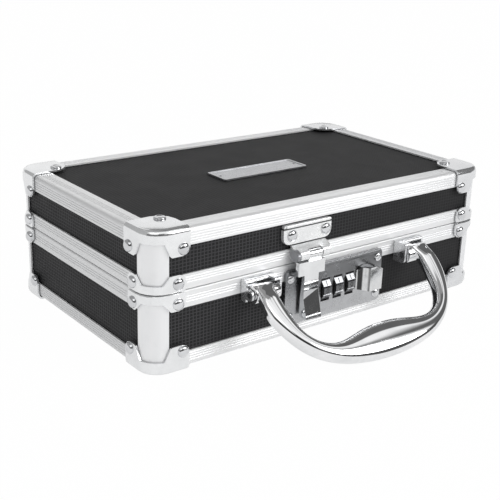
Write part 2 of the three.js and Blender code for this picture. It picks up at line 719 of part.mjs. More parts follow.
function capShape(flush) {
  const reach = CAP_REACH_FRONT + CUT_MARGIN;
  const deep = CAP_ARM_DEPTH + CUT_MARGIN;
  const sheet = cornerBlock(PROUD, PRESSED_EDGE_SHARES, CAP_EDGE_ROUND, reach, -PROUD, deep);
  const hollow = cornerBlock(
    GAP, PRESSED_EDGE_SHARES, CAP_INNER_ROUND, reach + CUT_MARGIN, -GAP, deep + CUT_MARGIN,
  );
  const front = armOutline(
    CAP_REACH_FRONT, CAP_ARM_DEPTH, CAP_BAND, NOTCH_NARROW, CAP_LOBE_RADIUS, 0, -CUT_MARGIN,
  );
  const side = armOutline(
    CAP_REACH_SIDE, CAP_ARM_DEPTH, CAP_BAND, NOTCH_NARROW, CAP_LOBE_RADIUS, 0, -CUT_MARGIN,
  );
  const flange = [
    [-CUT_MARGIN, -CUT_MARGIN],
    [CAP_REACH_FRONT, -CUT_MARGIN],
    [CAP_REACH_FRONT, CAP_REACH_SIDE, CAP_TOP_LOBE_RADIUS],
    [-CUT_MARGIN, CAP_REACH_SIDE],
  ];
  const outline = joined([
    prism(front, -CUT_MARGIN, CORNER_RADIUS, 'y'),
    prism(side, -CUT_MARGIN, CORNER_RADIUS, 'x'),
    prism(flange, -CUT_MARGIN, 0, 'z'),
  ]);
  const pressed = sheet.subtract(hollow).intersect(outline);
  const arms = joined([
    pressed,
    rivetOn(CAP_REACH_FRONT - CAP_RIVET_FROM_END_FRONT, -PROUD, CAP_RIVET_DEPTH, [0, -1, 0]),
    rivetOn(-PROUD, CAP_REACH_SIDE - CAP_RIVET_FROM_END_SIDE, CAP_RIVET_DEPTH, [-1, 0, 0]),
  ]);
  if (!flush) {
    return arms.add(
      rivetOn(CAP_TOP_RIVET, CAP_TOP_RIVET, -PROUD, [0, 0, -1], RIVET_RADIUS, CAP_TOP_RIVET_HEIGHT),
    );
  }
  const disc = (radius, depth) => new THREE.CylinderGeometry(radius, radius, depth, PIN_SEGMENTS)
    .rotateX(QUARTER_TURN)
    .translate(CAP_TOP_RIVET, CAP_TOP_RIVET, -PROUD);
  const grooved = solid(disc(RIVET_RADIUS + FLUSH_GROOVE_WIDTH, 2 * FLUSH_GROOVE_DEPTH));
  return arms.subtract(grooved.subtract(solid(disc(RIVET_RADIUS, 4 * FLUSH_GROOVE_DEPTH))));
}

function braceShape(rivetDepth) {
  const reach = BRACE_REACH_FRONT + CUT_MARGIN;
  const deep = BRACE_ARM_DEPTH + CUT_MARGIN;
  const sheet = cornerBlock(PROUD, CHAMFERED_EDGE, RIM_CHAMFER, reach, 0, deep);
  const hollow = cornerBlock(
    GAP, SQUARE_EDGE, 0, reach + CUT_MARGIN, -CUT_MARGIN, deep + CUT_MARGIN,
  );
  const arm = (length) => armOutline(
    length, BRACE_ARM_DEPTH, BRACE_BAND, BRACE_NOTCH_NARROW, BRACE_LOBE_RADIUS, BRACE_END_ROUND, 0,
  );
  const outline = joined([
    prism(arm(BRACE_REACH_FRONT), -CUT_MARGIN, CORNER_RADIUS, 'y'),
    prism(arm(BRACE_REACH_SIDE), -CUT_MARGIN, CORNER_RADIUS, 'x'),
  ]);
  return joined([
    sheet.subtract(hollow).intersect(outline),
    rivetOn(BRACE_REACH_FRONT - BRACE_RIVET_FROM_END, -PROUD, rivetDepth, [0, -1, 0]),
    rivetOn(-PROUD, BRACE_REACH_SIDE - BRACE_RIVET_FROM_END, rivetDepth, [-1, 0, 0]),
  ]);
}

// A piece modelled in distances from one corner, turned to face that corner of the shell.
function atCorner(shape, signX, signY, signZ) {
  const geometry = geometryOf(shape).scale(-signX, -signY, signZ);
  return facingOut(geometry);
}

function lining(half) {
  const from = EDGE_LIP + PANEL_THICKNESS + 2 * GAP;
  const to = half.depth - half.rimLip - GAP;
  const tray = (inset, radius, near, far) => {
    const x = SHELL_WIDTH / 2 - inset;
    const y = SHELL_DEPTH / 2 - inset;
    const outline = [[-x, -y, radius], [x, -y, radius], [x, y, radius], [-x, y, radius]];
    const ends = [half.inward * near, half.inward * far].sort((a, b) => a - b);
    return prism(outline, ends[0], ends[1], 'z');
  };
  const outer = tray(LINING_INSET, LINING_RADIUS, from, to);
  const inner = tray(
    LINING_INSET + LINING_THICKNESS, LINING_RADIUS - LINING_THICKNESS, from + LINING_THICKNESS, to + CUT_MARGIN,
  );
  return outer.subtract(inner);
}

function lockOpening(yFrom, yTo) {
  return box(
    HOUSING_LEFT - CUTOUT_CLEARANCE, HOUSING_RIGHT + CUTOUT_CLEARANCE, yFrom, yTo,
    HOUSING_BOTTOM - CUTOUT_CLEARANCE, HOUSING_TOP + CUTOUT_CLEARANCE,
  );
}

function buildHalf(name) {
  const half = HALVES[name];
  const group = new THREE.Group();
  group.name = `${name}_shell`;
  const seam = half.outer + half.inward * half.depth;
  const atDepth = (depth) => half.outer + half.inward * depth;
  group.add(meshOf(`${name}_edge_frame`, edgeFrame(half), 'aluminium', [0, 0, half.outer]));
  group.add(meshOf(`${name}_rim`, rim(half), 'aluminium', [0, 0, seam]));

  const panelX = SHELL_WIDTH / 2 - TOP_PANEL_INSET;
  const panelY = SHELL_DEPTH / 2 - TOP_PANEL_INSET;
  const panelRadius = CORNER_RADIUS - TOP_PANEL_INSET;
  const outerPanelOutline = [
    [-panelX, -panelY, panelRadius],
    [panelX, -panelY, panelRadius],
    [panelX, panelY, panelRadius],
    [-panelX, panelY, panelRadius],
  ];
  const outerPanel = prism(outerPanelOutline, -PANEL_THICKNESS / 2, PANEL_THICKNESS / 2, 'z');
  const outerPanelDepth = EDGE_LIP + GAP + PANEL_THICKNESS / 2;
  const outerLook = name === 'lid' ? 'top_panel' : 'panel';
  const outerPanelName = `${name}_${half.outerName}_panel`;
  group.add(meshOf(outerPanelName, outerPanel, outerLook, [0, 0, atDepth(outerPanelDepth)]));

  const sideFrom = EDGE_FLANGE + GAP;
  const sideTo = half.depth - half.rimLip - GAP;
  const sideMiddle = atDepth((sideFrom + sideTo) / 2);
  const sideHeight = sideTo - sideFrom;
  for (const [side, { axis, sign }] of Object.entries(SIDES)) {
    const alongX = axis === 'x';
    const [across, length] = alongX ? [SHELL_DEPTH, SHELL_WIDTH] : [SHELL_WIDTH, SHELL_DEPTH];
    const run = length - 2 * PANEL_CORNER;
    const off = sign * (across / 2 - PANEL_INSET - PANEL_THICKNESS / 2);
    const size = alongX ? [run, PANEL_THICKNESS, sideHeight] : [PANEL_THICKNESS, run, sideHeight];
    const position = alongX ? [0, off, sideMiddle] : [off, 0, sideMiddle];
    let panel = new THREE.BoxGeometry(...size);
    if (name === 'base' && side === 'front') {
      const opening = lockOpening(FRONT_FACE - CUT_MARGIN, FRONT_FACE + HOUSING_DEPTH);
      const moved = geometryOf(opening).translate(-position[0], -position[1], -position[2]);
      panel = solid(panel).subtract(solid(moved));
    }
    group.add(meshOf(`${name}_${side}_panel`, panel, 'panel', position));
  }

  const columnHeight = sideHeight;
  const column = prism(columnOutline(), -columnHeight / 2, columnHeight / 2, 'z');
  const cap = capShape(name === 'base');
  const brace = braceShape(half.braceRivetDepth);
  for (const [corner, [signX, signY]] of Object.entries(CORNERS)) {
    const x = (signX * SHELL_WIDTH) / 2;
    const y = (signY * SHELL_DEPTH) / 2;
    const columnGeometry = atCorner(column, signX, signY, 1);
    group.add(meshOf(`${name}_${corner}_column`, columnGeometry, 'aluminium', [x, y, sideMiddle]));
    const capGeometry = atCorner(cap, signX, signY, half.inward);
    group.add(meshOf(`${name}_${corner}_cap`, capGeometry, 'chrome', [x, y, half.outer]));
    const braceGeometry = atCorner(brace, signX, signY, -half.inward);
    group.add(meshOf(`${name}_${corner}_brace`, braceGeometry, 'chrome', [x, y, seam]));
  }

  let tray = lining(half);
  if (name === 'base') {
    tray = tray.subtract(lockOpening(FRONT_FACE, FRONT_FACE + HOUSING_DEPTH));
  }
  group.add(meshOf(`${name}_lining`, tray, 'lining', [0, 0, half.outer]));
  return group;
}

const HINGE_Y = BACK_FACE + HINGE_AXIS_PROUD;

// Leaf of the continuous hinge: direction is 1 for the lid's leaf and -1 for the base's.
function hingeLeaf(direction) {
  const left = -HINGE_LENGTH / 2;
  const knuckle = HINGE_LENGTH / HINGE_KNUCKLES;
  const near = direction * HINGE_LEAF_RELIEF;
  const far = direction * (HINGE_LEAF_RELIEF + HINGE_LEAF_HEIGHT);
  const back = GAP - HINGE_AXIS_PROUD;
  const front = back + PROFILE_WALL;
  const pieces = [box(left, -left, back, front, Math.min(near, far), Math.max(near, far))];
  for (let i = direction > 0 ? 0 : 1; i < HINGE_KNUCKLES; i += 2) {
    const from = left + i * knuckle + GAP / 2;
    const to = left + (i + 1) * knuckle - GAP / 2;
    const webNear = direction * HINGE_WEB_START;
    const webFar = direction * (HINGE_LEAF_RELIEF + GAP);
    pieces.push(rod(HINGE_BARREL_RADIUS, from, to, 0, 0));
    pieces.push(box(from, to, back, front, Math.min(webNear, webFar), Math.max(webNear, webFar)));
  }
  const spacing = HINGE_LENGTH / HINGE_RIVETS;
  for (let i = 0; i < HINGE_RIVETS; i += 1) {
    const x = left + (i + 0.5) * spacing;
    pieces.push(rivetOn(x, front, (near + far) / 2, [0, 1, 0], HINGE_RIVET_RADIUS, HINGE_RIVET_HEIGHT));
  }
  const bore = rod(HINGE_BORE_RADIUS, left - GAP, -left + GAP, 0, 0);
  return joined(pieces).subtract(bore);
}

function handleGeometry() {
  const mirrored = HANDLE_EDGE_SHARES.map(([ox, os, ix, is]) => [-ox, os, -ix, is]);
  const middle = [[0, 1, 0, HANDLE_GRIP_INNER_SHARE]];
  const shares = [...mirrored, ...middle, ...[...HANDLE_EDGE_SHARES].reverse()];
  const toCurve = (pick) => new THREE.CatmullRomCurve3(shares.map((share) => {
    const [x, reach] = pick(share);
    return new THREE.Vector3(x * HANDLE_OUTER_HALF_SPAN, -reach * HANDLE_OUTER_REACH, 0);
  }));
  const outer = toCurve(([ox, os]) => [ox, os]);
  const inner = toCurve((share) => [share[2], share[3]]);
  const loops = [];
  for (let i = 0; i <= HANDLE_STATIONS; i += 1) {
    const t = i / HANDLE_STATIONS;
    const far = outer.getPoint(t);
    const near = inner.getPoint(t);
    const centre = far.clone().add(near).multiplyScalar(0.5);
    const across = far.clone().sub(near);
    const halfWidth = across.length() / 2;
    across.normalize();
    const blend = Math.sin(Math.PI * t) ** 2;
    const full = THREE.MathUtils.lerp(HANDLE_ARM_THICKNESS, HANDLE_GRIP_THICKNESS, blend);
    const taper = Math.min(1, Math.min(t, 1 - t) / HANDLE_END_TAPER);
    const thickness = THREE.MathUtils.lerp(HANDLE_END_THICKNESS, full, taper);
    const loop = [];
    for (let k = 0; k < HANDLE_SECTION_POINTS; k += 1) {
      const angle = ((k + 0.5) / HANDLE_SECTION_POINTS) * 2 * Math.PI;
      const power = 2 / HANDLE_SQUARENESS;
      const u = Math.sign(Math.cos(angle)) * Math.abs(Math.cos(angle)) ** power;
      const v = Math.sign(Math.sin(angle)) * Math.abs(Math.sin(angle)) ** power;
      const point = centre.clone().addScaledVector(across, halfWidth * u);
      loop.push([point.x, point.y, HANDLE_PLANE_LIFT + (thickness / 2) * v]);
    }
    loops.push(loop);
  }
  const bow = solid(convexLoft(loops));
  const ends = [-1, 1].flatMap((sign) => {
    const [from, to] = [sign * HANDLE_BARREL_FROM, sign * HANDLE_BARREL_TO].sort((a, b) => a - b);
    return [[from, to]];
  });
  const barrels = ends.map(([from, to]) => rod(HANDLE_BARREL_RADIUS, from, to, 0, 0, BARREL_SEGMENTS));
  const bores = ends.map(([from, to]) => rod(HANDLE_BORE_RADIUS, from - GAP, to + GAP, 0, 0));
  return cut(joined([bow, ...barrels]), bores);
}

// Bracket of bent sheet: a back plate, an ear, a flange with a lug, and a hood cut back over the handle's arm.
function bracketShape(sign) {
  const span = (from, to) => [HANDLE_CENTRE_X + sign * from, HANDLE_CENTRE_X + sign * to].sort((a, b) => a - b);
  const [left, right] = span(BRACKET_FROM, BRACKET_TO);
  const webBottom = BRACKET_TOP - BRACKET_SHEET;
  const notch = BRACKET_FROM + BRACKET_NOTCH_SHARE * BRACKET_WIDTH;
  const yOf = (off) => FRONT_FACE - off;
  const web = (reach) => [
    [yOf(GAP), webBottom],
    [yOf(reach), webBottom],
    [yOf(reach), BRACKET_TOP, BRACKET_WEB_ROUND],
    [yOf(GAP), BRACKET_TOP],
  ];
  const ear = (reach, round) => [
    [yOf(GAP), BRACKET_BOTTOM],
    [yOf(reach), BRACKET_BOTTOM, round],
    [yOf(reach), webBottom],
    [yOf(reach - BRACKET_WEB_ROUND), BRACKET_TOP],
    [yOf(GAP), BRACKET_TOP],
  ];
  const lug = [
    [yOf(GAP), HANDLE_PIVOT_HEIGHT - EAR_LUG_RADIUS],
    [yOf(HANDLE_PIVOT_OFF + EAR_LUG_RADIUS), HANDLE_PIVOT_HEIGHT - EAR_LUG_RADIUS, EAR_LUG_RADIUS - MIN_RADIUS],
    [yOf(HANDLE_PIVOT_OFF + EAR_LUG_RADIUS), HANDLE_PIVOT_HEIGHT + EAR_LUG_RADIUS, EAR_LUG_RADIUS - MIN_RADIUS],
    [yOf(GAP), HANDLE_PIVOT_HEIGHT + EAR_LUG_RADIUS],
  ];
  const pieces = [
    box(left, right, yOf(GAP + BRACKET_SHEET), yOf(GAP), BRACKET_BOTTOM, BRACKET_TOP),
    prism(web(BRACKET_WEB_REACH), ...span(BRACKET_FROM, notch), 'x'),
    prism(web(BRACKET_NOTCH_REACH), ...span(notch - BRACKET_SHEET, BRACKET_TO), 'x'),
    prism(ear(BRACKET_WEB_REACH, EAR_FOOT_ROUND), ...span(BRACKET_FROM, BRACKET_FROM + BRACKET_SHEET), 'x'),
    prism(ear(BRACKET_NOTCH_REACH, MIN_RADIUS), ...span(BRACKET_TO - BRACKET_SHEET, BRACKET_TO), 'x'),
    prism(lug, ...span(BRACKET_TO - BRACKET_SHEET, BRACKET_TO), 'x'),
  ];
  const bore = rod(HANDLE_BORE_RADIUS, left - GAP, right + GAP, yOf(HANDLE_PIVOT_OFF), HANDLE_PIVOT_HEIGHT);
  return joined(pieces).subtract(bore);
}

function catchPlate() {
  const yOf = (off) => FRONT_FACE - off;
  const back = GAP - PANEL_INSET;
  const front = back + CATCH_SHEET;
  const face = [
    [CATCH_LEFT, CATCH_BOTTOM, CATCH_ROUND],
    [CATCH_RIGHT, CATCH_BOTTOM, CATCH_ROUND],
    [CATCH_RIGHT, CATCH_TOP, CATCH_BEAD_HEIGHT],
    [CATCH_LEFT, CATCH_TOP, CATCH_BEAD_HEIGHT],
  ];
  const bead = [
    [yOf(back), CATCH_TOP - CATCH_BEAD_HEIGHT],
    [yOf(front + CATCH_BEAD_PROUD), CATCH_TOP - CATCH_BEAD_HEIGHT, CATCH_BEAD_PROUD / 2],
    [yOf(front + CATCH_BEAD_PROUD), CATCH_TOP, CATCH_BEAD_PROUD / 2],
    [yOf(back), CATCH_TOP],
  ];
  const arm = [
    [yOf(back), ARM_INNER_TOP],
    [yOf(back), ARM_STEP_TOP],
    [yOf(CATCH_ARM_ROOT_OFF), ARM_STEP_TOP],
    [yOf(CATCH_ARM_ROOT_OFF), CATCH_ARM_ROOT_LOW],
    [yOf(ARM_STEP_OFF), ARM_STEP_LOW],
    [yOf(HASP_AXIS_OFF), HASP_AXIS_HEIGHT + HASP_KNUCKLE_RADIUS],
    [yOf(ARM_INNER_OFF), ARM_INNER_LOW],
  ];
  const shoulders = [
    [CATCH_ARM_LEFT, HASP_AXIS_HEIGHT],
    [CATCH_ARM_RIGHT, HASP_AXIS_HEIGHT],
    [CATCH_ARM_RIGHT, ARM_STEP_TOP, CATCH_ARM_ROUND],
    [CATCH_ARM_LEFT, ARM_STEP_TOP, CATCH_ARM_ROUND],
  ];
  const knuckleBottom = HASP_AXIS_HEIGHT - HASP_KNUCKLE_RADIUS;
  const flank = [
    [yOf(GAP), ARM_STEP_LOW],
    [yOf(GAP), knuckleBottom, CHEEK_ROUND],
    [yOf(FLANK_OFF), knuckleBottom],
    [yOf(FLANK_OFF), HASP_AXIS_HEIGHT],
    [yOf(ARM_STEP_OFF), ARM_STEP_LOW],
  ];
  const cheek = [
    [yOf(GAP), ARM_STEP_LOW],
    [yOf(GAP), knuckleBottom, CHEEK_ROUND],
    [yOf(HASP_AXIS_OFF + HASP_KNUCKLE_RADIUS), knuckleBottom, HASP_KNUCKLE_RADIUS - MIN_RADIUS],
    [yOf(HASP_AXIS_OFF + HASP_KNUCKLE_RADIUS), HASP_AXIS_HEIGHT + HASP_KNUCKLE_RADIUS, HASP_KNUCKLE_RADIUS - MIN_RADIUS],
    [yOf(ARM_STEP_OFF), ARM_STEP_LOW],
  ];
  const beadInset = 2 * CATCH_BEAD_PROUD;
  const rivetLeft = CATCH_LEFT + CATCH_RIVET_FROM_LEFT;
  const rivetRight = CATCH_RIGHT - CATCH_RIVET_FROM_RIGHT;
  const pieces = [
    prism(face, yOf(front), yOf(back), 'y'),
    prism(bead, CATCH_LEFT + beadInset, CATCH_RIGHT - beadInset, 'x'),
    prism(arm, CATCH_ARM_LEFT, CATCH_ARM_RIGHT, 'x').intersect(prism(shoulders, yOf(ARM_STEP_OFF + CUT_MARGIN), yOf(back - CUT_MARGIN), 'y')),
    prism(flank, CATCH_ARM_LEFT, HASP_KNUCKLE_LEFT - GAP, 'x'),
    prism(cheek, HASP_BARREL_LEFT, HASP_KNUCKLE_LEFT - GAP, 'x'),
    prism(cheek, HASP_KNUCKLE_RIGHT + GAP, HASP_BARREL_RIGHT, 'x'),
    rivetOn(rivetLeft, yOf(front), CATCH_RIVET_HEIGHT, [0, -1, 0]),
    rivetOn(rivetRight, yOf(front), CATCH_RIVET_HEIGHT, [0, -1, 0]),
  ];
  const y = yOf(HASP_AXIS_OFF);
  const relief = rod(
    HASP_KNUCKLE_RADIUS + GAP, HASP_KNUCKLE_LEFT - GAP, HASP_KNUCKLE_RIGHT + GAP, y, HASP_AXIS_HEIGHT, BARREL_SEGMENTS,
  );
  const bore = rod(HASP_BORE_RADIUS, HASP_BARREL_LEFT - GAP, HASP_BARREL_RIGHT + GAP, y, HASP_AXIS_HEIGHT);
  return cut(joined(pieces), [relief, bore]);
}

function haspShape() {
  const yOf = (off) => FRONT_FACE - off;
  const y = yOf(HASP_AXIS_OFF);
  const link = [
    [yOf(HASP_BLOCK_BACK), HASP_BLOCK_TOP - HASP_WELD],
    [yOf(HASP_BLOCK_BACK), HASP_AXIS_HEIGHT],
    [yOf(HASP_BLOCK_FRONT), HASP_AXIS_HEIGHT],
    [yOf(HASP_BLOCK_FRONT), HASP_BLOCK_TOP - HASP_WELD],
  ];
  const side = [
    [yOf(HASP_BAR_BACK), HASP_BLOCK_BOTTOM - HASP_WELD],
    [yOf(HASP_BLOCK_BACK), HASP_BLOCK_BOTTOM + HASP_WELD],
    [yOf(HASP_BLOCK_FRONT), HASP_BLOCK_BOTTOM + HASP_WELD],
    [yOf(HASP_BAR_FRONT), HASP_BLOCK_BOTTOM - HASP_WELD],
    ...HASP_SWAN_SHARES.map(([down, dip]) => [
      yOf(HASP_BAR_FRONT - dip * HASP_SWAN_DEPTH),
      THREE.MathUtils.lerp(HASP_SWAN_TOP, HASP_BAR_BOTTOM, down),
    ]),
    [yOf(HASP_TOE_FRONT), HASP_BAR_BOTTOM, MIN_RADIUS],
    [yOf(HASP_BAR_BACK), HASP_BAR_BOTTOM],
  ];
  const plan = [
    [HASP_BAR_LEFT, HASP_BLOCK_BOTTOM + HASP_WELD],
    [HASP_BAR_RIGHT, HASP_BLOCK_BOTTOM + HASP_WELD],
    [HASP_BAR_RIGHT, HASP_BAR_BOTTOM, HASP_TOE_ROUND],
    [HASP_BAR_LEFT, HASP_BAR_BOTTOM, HASP_TOE_ROUND],
  ];
  const block = [
    [HASP_BLOCK_LEFT, HASP_BLOCK_BOTTOM, MIN_RADIUS],
    [HASP_BLOCK_RIGHT, HASP_BLOCK_BOTTOM, MIN_RADIUS],
    [HASP_BLOCK_RIGHT, HASP_BLOCK_TOP, MIN_RADIUS],
    [HASP_BLOCK_LEFT, HASP_BLOCK_TOP, MIN_RADIUS],
  ];
  const bar = prism(side, HASP_BAR_LEFT, HASP_BAR_RIGHT, 'x');
  const nibMiddle = (HASP_BAR_LEFT + HASP_BAR_RIGHT) / 2;
  const pieces = [
    rod(HASP_KNUCKLE_RADIUS, HASP_KNUCKLE_LEFT, HASP_KNUCKLE_RIGHT, y, HASP_AXIS_HEIGHT, BARREL_SEGMENTS),
    prism(link, HASP_KNUCKLE_LEFT, HASP_KNUCKLE_RIGHT, 'x'),
    prism(block, yOf(HASP_BLOCK_FRONT), yOf(HASP_BLOCK_BACK), 'y'),
    bar.intersect(prism(plan, yOf(HASP_TOE_FRONT + HASP_WELD), yOf(0), 'y')),
    box(
      nibMiddle - NIB_WIDTH / 2, nibMiddle + NIB_WIDTH / 2, yOf(HASP_BAR_BACK + GAP), yOf(NIB_TIP), NIB_BOTTOM, NIB_TOP,
    ),
  ];
  const bore = rod(HASP_BORE_RADIUS, HASP_KNUCKLE_LEFT - GAP, HASP_KNUCKLE_RIGHT + GAP, y, HASP_AXIS_HEIGHT);
  return joined(pieces).subtract(bore);
}

function lockCase() {
  const yOf = (off) => FRONT_FACE - off;
  const plateBack = GAP;
  const plateFront = GAP + LOCK_SHEET;
  const face = [
    [LOCK_LEFT, LOCK_BOTTOM, LOCK_ROUND],
    [LOCK_RIGHT, LOCK_BOTTOM, LOCK_ROUND],
    [LOCK_RIGHT, LOCK_TOP, LOCK_ROUND],
    [LOCK_LEFT, LOCK_TOP, LOCK_ROUND],
  ];
  const lip = [
    [yOf(plateBack), LOCK_TOP - LOCK_LIP_HEIGHT],
    [yOf(plateFront + LOCK_LIP_PROUD), LOCK_TOP - LOCK_LIP_HEIGHT, LOCK_LIP_PROUD / 2],
    [yOf(plateFront + LOCK_LIP_PROUD), LOCK_TOP, LOCK_LIP_PROUD / 2],
    [yOf(plateBack), LOCK_TOP],
  ];
  const housing = box(
    HOUSING_LEFT, HOUSING_RIGHT, yOf(plateBack + GAP), yOf(-HOUSING_DEPTH), HOUSING_BOTTOM, HOUSING_TOP,
  );
  const chamber = box(
    HOUSING_LEFT + HOUSING_WALL, HOUSING_RIGHT - HOUSING_WALL,
    yOf(plateBack), yOf(-HOUSING_DEPTH + HOUSING_WALL),
    HOUSING_BOTTOM + HOUSING_WALL, HOUSING_TOP - HOUSING_WALL,
  );
  const cheeks = [CHEEK_LEFT, CHEEK_RIGHT].map((x) => box(
    x, x + CHEEK_WALL, yOf(plateBack + GAP), yOf(-HOUSING_DEPTH + HOUSING_WALL / 2),
    CHEEK_BOTTOM, HOUSING_TOP - HOUSING_WALL / 2,
  ));
  const rivets = [LOCK_LEFT + LOCK_RIVET_INSET_X, LOCK_RIGHT - LOCK_RIVET_INSET_X].flatMap((x) => [
    rivetOn(x, yOf(plateFront), LOCK_BOTTOM + LOCK_RIVET_INSET_LOW, [0, -1, 0], LOCK_RIVET_RADIUS, LOCK_RIVET_HEIGHT),
    rivetOn(x, yOf(plateFront), LOCK_TOP - LOCK_RIVET_INSET_HIGH, [0, -1, 0], LOCK_RIVET_RADIUS, LOCK_RIVET_HEIGHT),
  ]);
  const windows = [];
  for (let i = 0; i < DIAL_COUNT; i += 1) {
    const x = DIAL_FIRST + i * DIAL_PITCH;
    windows.push(box(
      x - WINDOW_WIDTH / 2, x + WINDOW_WIDTH / 2, yOf(plateFront + GAP), yOf(0),
      DIAL_AXIS_HEIGHT - WINDOW_HEIGHT / 2, DIAL_AXIS_HEIGHT + WINDOW_HEIGHT / 2,
    ));
  }
  const keeperMiddle = (HASP_BAR_LEFT + HASP_BAR_RIGHT) / 2;
  const keeperSlot = box(
    keeperMiddle - KEEPER_SLOT_WIDTH / 2, keeperMiddle + KEEPER_SLOT_WIDTH / 2,
    yOf(plateFront + GAP), yOf(0), KEEPER_SLOT_BOTTOM, KEEPER_SLOT_TOP,
  );
  const stemSlot = box(
    STEM_LEFT - GAP, STEM_RIGHT + BUTTON_TRAVEL + GAP, yOf(plateFront + GAP), yOf(0),
    STEM_BOTTOM - GAP, STEM_TOP + GAP,
  );
  const spindleBore = rod(
    SPINDLE_BORE_RADIUS, CHEEK_LEFT - GAP, CHEEK_RIGHT + CHEEK_WALL + GAP, yOf(DIAL_AXIS_OFF), DIAL_AXIS_HEIGHT,
  );
  const shell = joined([
    prism(face, yOf(plateFront), yOf(plateBack), 'y'),
    prism(lip, LOCK_LEFT + LOCK_ROUND, LOCK_RIGHT - LOCK_ROUND, 'x'),
    housing.subtract(chamber),
    ...cheeks,
    ...rivets,
  ]);
  return cut(shell, [...windows, keeperSlot, stemSlot, spindleBore]);
}

function dialShape() {
  const outline = [];
  const step = (2 * Math.PI) / DIAL_FACES;
  const half = (1 - DIAL_NOTCH_SHARE) / 2;
  for (let i = 0; i < DIAL_FACES; i += 1) {
    const marks = [
      [(i - half) * step, DIAL_RADIUS],
      [(i + half) * step, DIAL_RADIUS],
      [(i + 0.5) * step, DIAL_RADIUS - DIAL_NOTCH_DEPTH],
    ];
    for (const [angle, radius] of marks) {
      outline.push([radius * Math.cos(angle), radius * Math.sin(angle)]);
    }
  }
  const wheel = prism(outline, -DIAL_WIDTH / 2, DIAL_WIDTH / 2, 'x');
  return wheel.subtract(rod(DIAL_BORE_RADIUS, -DIAL_WIDTH, DIAL_WIDTH, 0, 0));
}

function buttonShape() {
  const yOf = (off) => FRONT_FACE - off;
  const width = BUTTON_RIGHT - BUTTON_LEFT;
  const stand = BUTTON_FRONT - BUTTON_BACK;
  const plan = BUTTON_SCOOP_SHARES.map(([u, v]) => [BUTTON_LEFT + u * width, yOf(BUTTON_BACK + v * stand)]);
  plan.push([BUTTON_RIGHT, yOf(BUTTON_FRONT), BUTTON_EDGE], [BUTTON_RIGHT, yOf(BUTTON_BACK)]);
  const crown = (BUTTON_CROWN - BUTTON_SHOULDER);
  const face = [
    [BUTTON_LEFT, BUTTON_BOTTOM, BUTTON_EDGE],
    [BUTTON_RIGHT, BUTTON_BOTTOM, BUTTON_EDGE],
    [BUTTON_RIGHT, BUTTON_SHOULDER],
    [BUTTON_RIGHT - width * 0.14, BUTTON_SHOULDER + crown * 0.62],
    [BUTTON_RIGHT - width * 0.32, BUTTON_CROWN],
    [BUTTON_LEFT + width * 0.32, BUTTON_CROWN],
    [BUTTON_LEFT + width * 0.14, BUTTON_SHOULDER + crown * 0.62],
    [BUTTON_LEFT, BUTTON_SHOULDER],
  ];
  const head = prism(plan, BUTTON_BOTTOM, BUTTON_CROWN, 'z')
    .intersect(prism(face, yOf(BUTTON_FRONT + GAP), yOf(0), 'y'));
  const stem = box(STEM_LEFT, STEM_RIGHT, yOf(BUTTON_BACK + GAP), yOf(STEM_BACK), STEM_BOTTOM, STEM_TOP);
  return head.add(stem);
}

function boltSlide() {
  const yOf = (off) => FRONT_FACE - off;
  const outline = [
    [BOLT_NOSE, BOLT_BOTTOM],
    [SLIDE_RIGHT, BOLT_BOTTOM],
    [SLIDE_RIGHT, SLIDE_TOP],
    [SLIDE_LEFT, SLIDE_TOP],
    [SLIDE_LEFT, STEM_BOTTOM - 4 * GAP],
    [SLIDE_LEG_LEFT, STEM_BOTTOM - 4 * GAP],
    [SLIDE_LEG_LEFT, BOLT_TOP],
    [BOLT_NOSE + BOLT_NOSE_BEVEL, BOLT_TOP],
  ];
  const plate = prism(outline, yOf(SLIDE_FRONT), yOf(SLIDE_BACK), 'y');
  const seat = box(SEAT_LEFT, SLIDE_RIGHT, yOf(SLIDE_FRONT), yOf(SEAT_BACK), SEAT_BOTTOM, SEAT_TOP);
  const socket = box(
    STEM_LEFT - GAP, STEM_RIGHT + GAP, yOf(SLIDE_FRONT + GAP), yOf(SEAT_BACK - GAP), STEM_BOTTOM - GAP, STEM_TOP + GAP,
  );
  return plate.add(seat).subtract(socket);
}

class Coil extends THREE.Curve {
  getPoint(t) {
    const angle = 2 * Math.PI * SPRING_TURNS * t;
    const length = SPRING_TO - SPRING_FROM - 2 * SPRING_WIRE;
    return new THREE.Vector3(
      SPRING_FROM + SPRING_WIRE + length * t,
      SPRING_RADIUS * Math.cos(angle),
      SPRING_RADIUS * Math.sin(angle),
    );
  }
}

function springGeometry() {
  const wire = new THREE.Shape();
  for (let i = 0; i < WIRE_SEGMENTS; i += 1) {
    const angle = (2 * Math.PI * i) / WIRE_SEGMENTS;
    const point = [SPRING_WIRE * Math.cos(angle), SPRING_WIRE * Math.sin(angle)];
    wire[i === 0 ? 'moveTo' : 'lineTo'](...point);
  }
  wire.closePath();
  return solid(new THREE.ExtrudeGeometry(wire, {
    steps: SPRING_TURNS * STEPS_PER_TURN,
    extrudePath: new Coil(),
  }));
}

function namePlate() {
  const half = [PLATE_WIDTH / 2, PLATE_DEPTH / 2];
  const outline = (inset, radius) => [
    [-half[0] + inset, -half[1] + inset, radius],
    [half[0] - inset, -half[1] + inset, radius],
    [half[0] - inset, half[1] - inset, radius],
    [-half[0] + inset, half[1] - inset, radius],
  ];
  const plate = prism(outline(0, PLATE_ROUND), 0, PLATE_THICKNESS, 'z');
  const field = prism(
    outline(PLATE_BORDER, PLATE_ROUND / 2), PLATE_THICKNESS - PLATE_RECESS, PLATE_THICKNESS + PLATE_RECESS, 'z',
  );
  const pins = [-1, 1].map((sign) => rivetOn(
    sign * (half[0] - PLATE_PIN_INSET), 0, PLATE_THICKNESS - PLATE_RECESS, [0, 0, 1], PLATE_PIN_RADIUS, PLATE_PIN_HEIGHT,
  ));
  return joined([plate.subtract(field), ...pins]);
}

